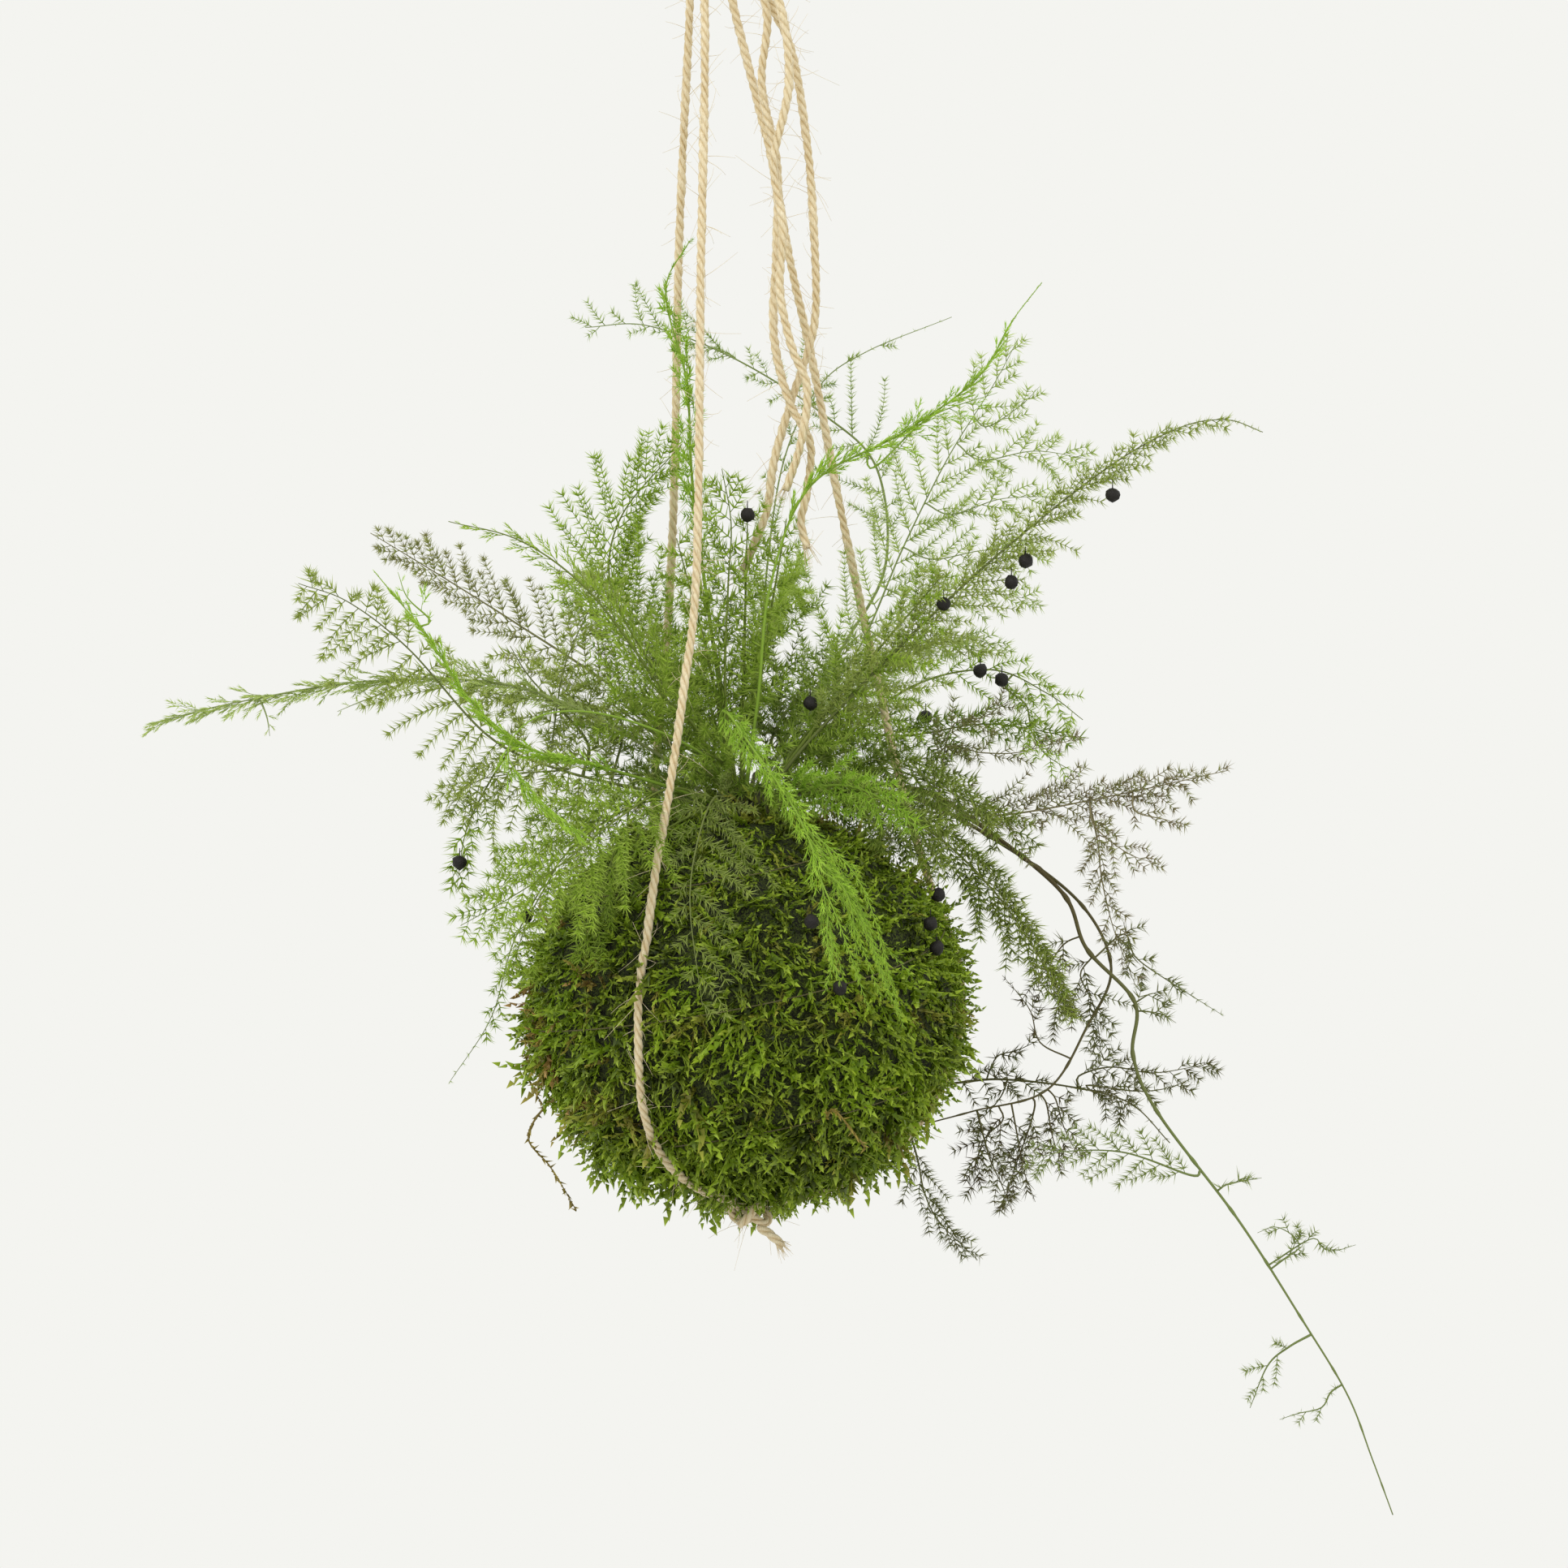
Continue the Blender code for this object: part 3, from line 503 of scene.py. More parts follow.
# Jute: bast fibre, spun and laid, dull with a faint straw sheen. Fibres run along the twine
def makeJute():
    material, tree, shader = newMaterial("juteFibre", **{
        "Roughness": 0.72, "Specular IOR Level": 0.35, "Sheen Weight": 0.25, "Sheen Roughness": 0.5})
    own = pointValues(tree)
    # fibres are about 0.3 mm across and 6 mm long where they show
    grain = addNode(tree, "Mapping", {"Scale": (3300, 3300, 170)}, {"Vector": own["place"]})
    fibres = addNode(tree, "TexNoise", {"Scale": 1.0, "Detail": 3.0, "Roughness": 0.6},
                     {"Vector": grain.outputs["Vector"]})
    # the colour drifts over a few centimetres, as the bast was retted unevenly
    drift = addNode(tree, "TexNoise", {"Scale": 45.0, "Detail": 2.0}, {"Vector": own["place"]})
    darker, paler = twine["colours"]
    base = addNode(tree, "Mix", {"data_type": "RGBA", 6: darker, 7: paler}, {0: drift.outputs["Fac"]})
    streak = addNode(tree, "ValToRGB", {}, {"Fac": fibres.outputs["Fac"]})
    for stop, position, code in zip(streak.color_ramp.elements, (0.34, 0.66), twine["fibreColours"]):
        stop.position = position
        stop.color = colour(code)
    fibre = addNode(tree, "Mix", {"data_type": "RGBA", 0: 0.45},
                    {6: base.outputs[2], 7: streak.outputs["Color"]})
    # painted shade, darker towards the bottom of the grooves between the plies
    paintedGrooveShade = addNode(tree, "Mix", {"data_type": "RGBA", 6: twine["grooveShadeColour"]},
                     {0: own["tone"], 7: fibre.outputs[2]})
    bump = addNode(tree, "Bump", {"Strength": 0.5, "Distance": 0.15 * mm},
                   {"Height": fibres.outputs["Fac"]})
    tree.links.new(paintedGrooveShade.outputs[2], shader.inputs["Base Color"])
    tree.links.new(bump.outputs["Normal"], shader.inputs["Normal"])
    return material


jute = makeJute()


# One twisted twine along a route
def layTwine(name, route, random, nodes=()):
    growth = Growth()
    points, faces = tubes(plyLines(route, random), 6)
    values = np.zeros((len(points), 4))
    # the tone carries how much of the grooves' painted shade each point takes
    values[:, 0] = grooveShadeMask(points, route)
    growth.add(points, faces, values, True)
    return finishPiece(name, growth, jute, nodes)


# Stray hairs; a tone below 1 mixes a little of the grooves' painted shade colour into them
def layHairs(name, lines, tone=0.9):
    growth = Growth()
    growth.addTubes(lines, 4, tone)
    finishPiece(name, growth, jute)


twineLengths = {}


# A twine with its stray hairs; its length is noted
def layCord(name, route, random):
    strand = layTwine(name + "_laid", route, random, [name])
    length = float(alongRoute(route)[-1])
    layHairs(name + "_hairs", strayHairs(route, random, twine["hairGap"]))
    twineLengths[name] = length


def makeTwine():
    random = np.random.default_rng(21)
    for name, marks in twine["strands"].items():
        route = keepOffBall(twineRoute(name, marks), twine["ballClearance"] * mm)
        layCord(name, stopAt(route, underKnotCentre, twine["knotReach"] * mm), random)
    for name, marks in twine["looseEnds"].items():
        route = twineRoute(name, marks)
        layCord(name, route, random)
        layHairs(name + "_frayed", frayedEnd(route, random, **twine["fray"]), 0.8)
    print("twine laid, mm:", {name: round(length / mm) for name, length in twineLengths.items()})


makeTwine()

# Knots: the wrapped knot at the top with its loop, and the knot under the ball with its frayed tail
knots = {
    "step": 1.2,
    "loopMarks": [(2.4, -23.55), (2.4, -21.55), (6.375, -15.55), (8.5, -8.55), (5.1, -0.05)],
    "loopCrest": 1.55,
    "wrapRadius": 4.4,
    "wrapTurns": 3.4,
    "wrapRise": 8.4,
    "wrapSlant": 0.5,
    "coreRadius": 3.2,
    "coreReach": 5.6,  # from the middle of the top knot, up and down
    "inset": 1.5,  # the middle of the twine is this far inside the outline of the under knot
    "tailMarks": [(3, -1.5, -4), (8, -3, -7.5), (11, -4, -10.5)],  # from the middle of the under knot
    "tailFray": {"count": 34, "reach": 7, "spread": 0.7},
    "hairGaps": {"loop": 2.5, "wrap": 2.2, "under": 1.6},
}


def makeKnots():
    random = np.random.default_rng(5)
    step = knots["step"] * mm
    gaps = knots["hairGaps"]
    left = [(-x, 0, z) for x, z in knots["loopMarks"]]
    right = [(x, 0, z) for x, z in knots["loopMarks"][::-1]]
    loop = smoothRoute(np.array(left + [(0, 0, knots["loopCrest"])] + right) * mm, step)
    layTwine("hang_loop_laid", loop, random, ["hang_loop"])
    layHairs("hang_loop_hairs", strayHairs(loop[:-8], random, gaps["loop"]))

    low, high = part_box("top_knot")
    middle = np.array((low + high) / 2)
    t = np.linspace(0, 1, 110)
    turn = math.tau * knots["wrapTurns"] * t
    radius = knots["wrapRadius"] * np.interp(t, [0, 0.05, 0.95, 1], [0.6, 1, 1, 0.6])  # ends tucked in
    rise = knots["wrapRise"] * (t - 0.5) + knots["wrapSlant"] * np.sin(turn)
    wrap = middle + np.column_stack([radius * np.cos(turn), radius * np.sin(turn), rise]) * mm
    layTwine("top_knot_wrapped", wrap, random, ["top_knot"])
    # the core inside the wrap takes mostly the grooves' painted shade colour, as shade inside the knot
    growth = Growth()
    growth.addTubes([(middle + np.outer(np.linspace(-1, 1, 5), [0, 0, knots["coreReach"] * mm]),
                      knots["coreRadius"] * mm * np.array([0.8, 1, 1, 1, 0.8]))], 8, 0.4)
    finishPiece("top_knot_core", growth, jute)
    layHairs("top_knot_hairs", strayHairs(wrap, random, gaps["wrap"]))

    # a trefoil knot that fills the box of its node; its plain form is 2.6 to each side and 1 high
    t = np.linspace(0, math.tau, 120)
    size = (np.array(underKnotHigh - underKnotLow) / 2 - knots["inset"] * mm) / np.array([2.6, 2.6, 1])
    trefoil = np.column_stack([np.sin(t) + 2 * np.sin(2 * t), np.cos(t) - 2 * np.cos(2 * t), -np.sin(3 * t)])
    tied = underKnotCentre + trefoil * size
    layTwine("under_knot_tied", tied, random, ["under_knot"])
    layHairs("under_knot_hairs", strayHairs(tied, random, gaps["under"]))
    tail = smoothRoute(underKnotCentre + np.array(knots["tailMarks"]) * mm, step)
    layTwine("under_tail_laid", tail, random, ["under_tail"])
    layHairs("under_tail_frayed", frayedEnd(tail, random, **knots["tailFray"]), 0.8)


makeKnots()
print("knots tied")

# Feather moss: bushy shoots of small overlapping leaves, springing from a dark mat. What goes by height
# is given at degrees up the ball
moss = {
    "shoots": 7000,
    "openAbove": 77,  # the crown of the fern fills the rest
    "shootLength": 7.6,
    "shootLeaves": 8,
    "leafLength": 2.3,
    "leafWidth": 0.92,
    "leafThickness": 0.5,
    "leafAngle": 38,
    "leafTurn": 137.5,
    "stalkRadius": 0.35,
    "patterns": 8,
    "sizes": (0.7, 1.45),
    "sizesByHeight": ([-50, 30], [1.2, 0.95]),
    "sink": 3.0,  # how far inside the ball's outline a shoot starts
    # how strongly shoots rise off the ball, hang down and stray sideways
    "lifts": (0.05, 0.5),
    "liftPatches": 0.35,
    "hang": ([-60, 0, 60], [0.55, 0.75, 0.35]),
    "stray": 0.75,
    # shoots that stand out of the mat as a ragged fringe: their share, and how many times that by height
    "tuftShare": 0.035,
    "tuftsByHeight": ([-60, 0, 40], [2.6, 2, 0.7]),
    "tuftLift": 0.7,
    "tuftSize": 1.4,
    # smooth patterns over the ball: how far apart their patches are, and where in the noise they start
    "patches": {"lumps": (21, 8.8), "lift": (9, 17.7), "tone": (14, 3.1), "dry": (13, 40.5)},
    "lumps": 4.0,  # how far the mat swells and sinks
    # leaves are lighter to the left and right as painted light, in patches and at random, and darker at the
    # top as painted shade under the fern
    "tone": {"least": 0.43, "sides": 0.35, "patches": 1.3, "stray": 0.22, "top": ([15, 60], [0, 0.16])},
    # they are dry in some patches, singly here and there, and most of all at the left edge
    "dry": {"patches": 3.0, "above": 0.3, "most": 0.8, "singles": 0.025, "single": 0.7,
            "left": ([-0.95, -0.6], [1.3, 0.5])},
    "bands": {"moss_upper": (20, 90), "moss_belly": (-28, 20), "moss_foot": (-90, -28)},
    # two shoots lie over each twine at every step, below these heights on the ball, from -1 to 1
    "overTwine": {"below": {"twine_front": -0.83, "twine_right": 0.6, "twine_back": 0.5}, "within": 4,
                  "sink": 2.6, "aside": (2, 4.5), "lifts": (0.5, 1.1), "stray": 0.35,
                  "sizes": (0.9, 1.3), "tones": (0.3, 0.8)},
    # round the knot under the ball: how far from its middle the shoots start, and how high above it
    "fringe": {"shoots": 26, "away": (6, 20), "above": 9, "outward": (0.5, 1.6), "sizes": (0.8, 1.3),
               "tone": 0.6},
    "crown": {"radius": 12.5, "every": 45, "stray": 0.9, "tone": 0.3},
    "matDepth": 2.4,  # how far the mat's surface is inside the ball's outline
    "matThickness": 6,
    "leafColours": ("1E2C03", "749412"),
    "tipColour": "AAC23A",
    "strawColours": ("6A4E24", "BC9A56"),
    # the mat's colours, near black as painted shade of the gaps between the shoots
    "feltAndGapShadeColours": ("0E1202", "4C5A14"),
    # dry strands that hang off the mat; a leaf's width, thickness and length, and how dry the strand
    # and its leaves are
    "stragglers": {"radii": (0.5, 0.2), "step": 1.2, "stray": 1.1, "leaf": (0.7, 0.4, 2.6), "tone": 0.6,
                   "dry": (0.75, 0.7), "routes": [  # from the crown
        [(-58, -6, -88), (-66, 0, -94), (-71, 4, -104), (-64, 4, -113), (-59, 4, -121), (-55, 4, -128)],
        [(-59, 6, -66), (-68, 6, -70), (-72, 5, -80), (-69, 4, -88), (-66, 4, -93)],
        [(-56, -20, -34), (-63, -18, -31), (-66, -16, -26)],
        [(28, -62, -92), (30, -70, -89), (35, -74, -94), (40, -72, -101)]]},
}


# One shoot, bent along its length; its leaves stand in a close spiral and are youngest at the end
def mossShoot(random):
    growth = Growth()
    long = moss["shootLength"]
    bend = random.uniform(-0.05, 0.05, 2)
    bend[1] = random.uniform(-0.055, 0.03)  # it droops more than it rises
    z = np.linspace(0.6, long, moss["shootLeaves"])
    share = z / long
    axis = np.column_stack([bend[0] * z ** 2, -bend[1] * z ** 2, z])
    heading = unit(np.column_stack([2 * bend[0] * z, -2 * bend[1] * z, np.ones_like(z)]))
    turn = np.arange(len(z)) * math.radians(moss["leafTurn"]) + random.uniform(0, math.tau)
    side = np.column_stack([np.cos(turn), np.sin(turn), np.zeros_like(z)])
    angle = np.radians(moss["leafAngle"] * (1.15 - 0.75 * share ** 2) + random.normal(0, 5, len(z)))[:, None]
    out = unit(side - heading * (side * heading).sum(1, keepdims=True))
    point = heading * np.cos(angle) + out * np.sin(angle)
    size = (1 - 0.35 * share) * random.uniform(0.85, 1.15, len(z))
    across = np.cross(heading, out)
    frames = framesAt(axis, point, across, moss["leafWidth"] * size, moss["leafThickness"] * size,
                      moss["leafLength"] * size)
    points, faces = cone
    for frame, age in zip(frames, share):
        moved = points @ frame[:, :3].T + frame[:, 3]
        values = np.zeros((len(points), 4))
        values[:, 1] = 0.45 * points[:, 2] + 0.55 * age ** 2
        growth.add(moved, faces, values)
    wide = moss["stalkRadius"]
    stalk = framesAt([(0, 0, 0)], [axis[-1]], [(1, 0, 0)], wide, wide, np.linalg.norm(axis[-1]))
    growth.addCopies(cone, stalk, 0.0)
    return growth.pattern()


# Places spread evenly over the ball, with the outward direction of each
def overBall(count, random):
    index = np.arange(count) + 0.5
    height = 1 - 2 * index / count
    turn = math.pi * (1 + 5 ** 0.5) * index + random.normal(0, 0.02, count)
    reach = np.sqrt(1 - height ** 2)
    ball = np.column_stack([reach * np.cos(turn), reach * np.sin(turn), height])
    ball = unit(ball + random.normal(0, 0.02, ball.shape))
    return ball, unit(ball / ballRadii)


# One of the moss's smooth patterns, about -0.5 to 0.5
def patchiness(places, name):
    scale, shift = moss["patches"][name]
    return np.array([noise.noise(Vector(place) / (scale * mm) + Vector((shift, 0, 0))) for place in places])


# How far the mat swells at points of a ball of radius one
def swelling(ball):
    return moss["lumps"] * patchiness(ballCentre + ball * ballRadii, "lumps") * mm


# Moss leaf: thin, moist and translucent, dark olive to lighter by its tone, which carries painted light and
# painted shade besides real patches, yellow-green at the tips, straw where dry
def makeMossLeaf():
    material, tree, shader = newMaterial("mossLeaf", **{"Roughness": 0.4, "Specular IOR Level": 0.22})
    own = pointValues(tree)
    shade, light = moss["leafColours"]
    straw, bleached = moss["strawColours"]
    # leaf cells are far too fine to show; this mottle stands for light on single leaves, 1 mm apart
    mottle = addNode(tree, "TexNoise", {"Scale": 900.0, "Detail": 2.0}, {"Vector": own["place"]})
    # shade and light colours by the tone: painted light on the sides, painted shade at the top, and real
    # patches
    toneWithPaintedLight = addNode(tree, "Mix", {"data_type": "RGBA", 6: shade, 7: light}, {0: own["tone"]})
    speckled = addNode(tree, "Mix", {"data_type": "RGBA", "blend_type": "MULTIPLY", 0: 0.35},
                       {6: toneWithPaintedLight.outputs[2], 7: mottle.outputs["Fac"]})
    reach = addNode(tree, "Math", {"operation": "POWER", 1: 1.6}, {0: own["tip"]})
    young = addNode(tree, "Mix", {"data_type": "RGBA", 7: moss["tipColour"]},
                    {0: reach.outputs[0], 6: speckled.outputs[2]})
    dried = addNode(tree, "Mix", {"data_type": "RGBA", 6: straw, 7: bleached}, {0: own["tip"]})
    final = addNode(tree, "Mix", {"data_type": "RGBA"},
                    {0: own["dry"], 6: young.outputs[2], 7: dried.outputs[2]})
    tree.links.new(final.outputs[2], shader.inputs["Base Color"])
    return material


mossLeaf = makeMossLeaf()


# The cover: shoots all over the ball, hanging, with ragged tufts and dry patches
def makeMossCover(patterns, ball, outward, random):
    rise = np.degrees(np.arcsin(ball[:, 2]))
    places = ballCentre + ball * (ballRadii - moss["sink"] * mm) + outward * swelling(ball)[:, None]
    down = unit(-upward + outward * outward[:, 2:3])
    stray = random.standard_normal(ball.shape)
    stray = unit(stray - outward * (stray * outward).sum(1, keepdims=True))
    hang = np.interp(rise, *moss["hang"])[:, None]
    lift = random.uniform(*moss["lifts"], (len(ball), 1))
    tufts = random.random(len(ball)) < moss["tuftShare"] * np.interp(rise, *moss["tuftsByHeight"])
    lift[:, 0] += moss["liftPatches"] * patchiness(places, "lift")
    lift[tufts] += moss["tuftLift"]
    headings = unit(down * hang + stray * moss["stray"] + outward * lift)
    sizes = random.uniform(*moss["sizes"], len(ball)) * np.interp(rise, *moss["sizesByHeight"]) * mm
    sizes[tufts] *= moss["tuftSize"]
    frames = framesAt(places, headings, np.cross(headings, outward), sizes, sizes, sizes)

    light, straw = moss["tone"], moss["dry"]
    # painted light on the left and right sides and painted shade at the top, under the fern, besides patches
    # and random tone
    tone = light["least"] + light["sides"] * np.abs(ball[:, 0])
    tone += light["patches"] * patchiness(places, "tone")
    tone += random.normal(0, light["stray"], len(ball)) - np.interp(rise, *light["top"])
    dry = np.clip(straw["patches"] * (patchiness(places, "dry") - straw["above"]), 0, straw["most"])
    dry += (random.random(len(ball)) < straw["singles"]) * straw["single"]
    dry *= np.interp(ball[:, 0], *straw["left"])
    pick = random.integers(0, len(patterns), len(ball))
    for name, (low, high) in moss["bands"].items():
        growth = Growth()
        for index, pattern in enumerate(patterns):
            here = (pick == index) & (rise >= low) & (rise < high) & (rise < moss["openAbove"])
            growth.addCopies(pattern, frames[here], np.clip(tone[here], 0, 1), np.clip(dry[here], 0, 1))
        finishPiece(name, growth, mossLeaf)


# It has grown over the twines, all but the front one, and under the ball over that one too
def makeMossOverTwine(patterns, random):
    over = moss["overTwine"]
    growth = Growth()
    for name, marks in twine["strands"].items():
        route = keepOffBall(twineRoute(name, marks), twine["ballClearance"] * mm)
        outward = unit((route - ballCentre) / ballRadii)
        onBall = np.linalg.norm((route - ballCentre) / (ballRadii + over["within"] * mm), axis=1) < 1
        here = np.repeat(np.nonzero(onBall & (outward[:, 2] < over["below"][name]))[0], 2)
        outward = outward[here]
        across = unit(np.cross(outward, unit(np.gradient(route, axis=0))[here]))
        across *= random.choice([-1, 1], (len(here), 1))  # from either side
        foot = route[here] - outward * over["sink"] * mm
        foot -= across * random.uniform(*over["aside"], (len(here), 1)) * mm
        headings = across + outward * random.uniform(*over["lifts"], (len(here), 1))
        headings = unit(headings + random.normal(0, over["stray"], across.shape))
        sizes = random.uniform(*over["sizes"], len(here)) * mm
        frames = framesAt(foot, headings, np.cross(headings, outward), sizes, sizes, sizes)
        pick = random.integers(0, len(patterns), len(here))
        for index, pattern in enumerate(patterns):
            tone = random.uniform(*over["tones"], (pick == index).sum())
            growth.addCopies(pattern, frames[pick == index], tone)
    finishPiece("moss_over_twine", growth, mossLeaf)


# A fringe hangs round the knot under the ball
def makeMossFringe(pattern, random):
    fringe = moss["fringe"]
    turn = random.uniform(0, math.tau, fringe["shoots"])
    out = np.column_stack([np.cos(turn), np.sin(turn), 0 * turn])
    away = out * random.uniform(*fringe["away"], (len(turn), 1))
    foot = underKnotCentre + (away + [0, 0, fringe["above"]]) * mm
    headings = unit(random.uniform(*fringe["outward"], (len(turn), 1)) * out - upward)
    sizes = random.uniform(*fringe["sizes"], len(turn)) * mm
    frames = framesAt(foot, headings, np.cross(headings, out), sizes, sizes, sizes)
    growth = Growth()
    growth.addCopies(pattern, frames, fringe["tone"])
    finishPiece("moss_fringe", growth, mossLeaf)


# The same moss creeps over the crown, in the shade of the fern
def makeMossCrown(pattern, ball, random):
    own = moss["crown"]
    knob = ball[ball[:, 2] > -0.3][::own["every"]]  # some of the ball's upper places
    headings = unit(knob + own["stray"] * random.standard_normal(knob.shape))
    foot = crownCentre + knob * own["radius"] * mm
    growth = Growth()
    growth.addCopies(pattern, framesAt(foot, headings, np.cross(headings, knob), mm, mm, mm), own["tone"])
    finishPiece("moss_crown", growth, mossLeaf)


# Stragglers: thin stems with a few leaves left on them
def makeStragglers(random):
    dead = moss["stragglers"]
    stemDry, leafDry = dead["dry"]
    growth = Growth()
    for marks in dead["routes"]:
        route = smoothRoute(crownCentre + np.array(marks) * mm, dead["step"] * mm)
        radii = np.linspace(*dead["radii"], len(route)) * mm
        growth.addTubes([(route, radii)], 4, dead["tone"], stemDry)
        stray = dead["stray"] * mm * random.standard_normal(route.shape)
        headings = unit(np.gradient(route, axis=0) + stray)
        leaves = framesAt(route, headings, np.roll(headings, 1, axis=1), *(np.array(dead["leaf"]) * mm))
        growth.addCopies(cone, leaves, dead["tone"], leafDry)
    finishPiece("moss_stragglers", growth, mossLeaf)


# Felted old growth: dark olive, matt, with a crumbly grain of 1.5 mm; its near-black darks are painted shade
# of the gaps between the shoots
def makeMossFeltAndGapShade():
    material, tree, shader = newMaterial("mossFeltAndGapShade", Roughness=0.95)
    place = addNode(tree, "TexCoord")
    crumbs = addNode(tree, "TexNoise", {"Scale": 650.0, "Detail": 5.0, "Distortion": 2.0},
                     {"Vector": place.outputs["Object"]})
    feltAndGapShade = addNode(tree, "ValToRGB", {}, {"Fac": crumbs.outputs["Fac"]})
    for stop, position, code in zip(feltAndGapShade.color_ramp.elements, (0.42, 0.64), moss["feltAndGapShadeColours"]):
        stop.position = position
        stop.color = colour(code)
    bump = addNode(tree, "Bump", {"Strength": 1.0, "Distance": 1.2 * mm}, {"Height": crumbs.outputs["Fac"]})
    tree.links.new(feltAndGapShade.outputs["Color"], shader.inputs["Base Color"])
    tree.links.new(bump.outputs["Normal"], shader.inputs["Normal"])
    return material


# The mat under the shoots: a shell, open round the crown
def makeMossMat():
    bm = bmesh.new()
    bmesh.ops.create_uvsphere(bm, u_segments=56, v_segments=32, radius=1)
    rim = math.sin(math.radians(moss["openAbove"] + 5))
    bmesh.ops.bisect_plane(bm, geom=bm.verts[:] + bm.edges[:] + bm.faces[:], plane_co=(0, 0, rim),
                           plane_no=(0, 0, 1), clear_outer=True)
    ball = np.array([vert.co for vert in bm.verts])
    mat = ballCentre + ball * (ballRadii - moss["matDepth"] * mm + swelling(ball)[:, None])
    for vert, place in zip(bm.verts, mat):
        vert.co = place
    bmesh.ops.recalc_face_normals(bm, faces=bm.faces)
    bmesh.ops.solidify(bm, geom=bm.faces[:], thickness=moss["matThickness"] * mm)
    bmesh.ops.recalc_face_normals(bm, faces=bm.faces)
    mesh = bpy.data.meshes.new("moss_mat")
    bm.to_mesh(mesh)
    bm.free()
    mesh.shade_smooth()
    mesh.materials.append(makeMossFeltAndGapShade())
    placePiece("moss_mat", mesh, ["moss_cover"])


def makeMoss():
    random = np.random.default_rng(33)
    patterns = [mossShoot(random) for index in range(moss["patterns"])]
    ball, outward = overBall(moss["shoots"], random)
    makeMossCover(patterns, ball, outward, random)
    makeMossOverTwine(patterns, random)
    makeMossFringe(patterns[2], random)
    makeMossCrown(patterns[0], ball, random)
    makeStragglers(random)
    makeMossMat()


# The thread that holds the moss on, drawn into it turn by turn
thread = {
    "turns": 3,
    "radius": 0.22,
    "clearance": 0.3,
    "climb": (-62, 58),  # degrees up the ball where it starts and ends
    "swing": 9,  # degrees that each turn is tilted
    # dull olive brown, darkened as painted shade of the moss over the thread
    "colours": ("3C3A20", "6E683E"),
}


def makeThread():
    turn = np.linspace(0, thread["turns"] * math.tau, 220)
    rise = np.radians(np.interp(turn, [0, turn[-1]], thread["climb"]) + thread["swing"] * np.sin(turn + 0.7))
    ring = np.column_stack([np.cos(rise) * np.cos(turn), np.cos(rise) * np.sin(turn), np.sin(rise)])
    route = ballCentre + ring * (ballRadii + thread["clearance"] * mm)
    growth = Growth()
    growth.addTubes([(route, np.full(len(ring), thread["radius"] * mm))], 6, 0.5)
    # Waxed thread, faintly twisted every millimetre; its dull olive brown is darkened as painted shade of
    # the moss over it
    material = grainedMaterial("bindingThreadInShade", "TexNoise", {"Scale": 1100.0}, "Fac", thread["colours"],
                               Roughness=0.8)
    finishPiece("binding_thread_wound", growth, material, ["binding_thread"])


makeMoss()
makeThread()
print("moss grown:", triangleCount, "triangles so far")

# Asparagus fern. A frond is a wiry stem with side branches in one plane, each feathered with fine
# needle leaves. Routes are measured from the crown. "stem" is the radius of its foot. Branches are up
# to "branch" long, stand "gap" apart at "angle" to the stem, which is "bare" at first, "sweep" towards
# its tip, "droop", and "taper" in length; "wild" is how unevenly. "roll" turns their plane: 0 faces the
# front, 90 is edge-on to it. "sides" are the relative lengths of the upper and the lower branches, or
# of the left and the right ones on an upright stem. "form" and "end" are the sprigs along a branch and
# at its tip, "size" is how large they are and "tone" how light. "dry" is how brown it is at the near
# and the far end of "dryOver", measured from the crown. "shoots" are side stems: the length of their
# branches, the marks that each follows from the nearest point of its host, and what else is its own.
# "strands" are side stems that leave a stretch of the stem side by side and end along the line between
# two points.
# a frond's tone sets its sprigs between the painted shade and the painted light colours of its kind
habit = {"kind": "fresh", "stem": 0.62, "bare": 0.12, "roll": 0, "branch": 24, "gap": 3.6, "angle": 52,
         "sweep": 0.5, "droop": 0.15, "sides": (1, 1), "form": "brush", "end": None, "size": 1.0,
         "wild": 0.28, "tone": 0.5, "dry": (0, 0), "dryOver": (33, 110), "taper": 0.8, "shoots": (),
         "strands": None}
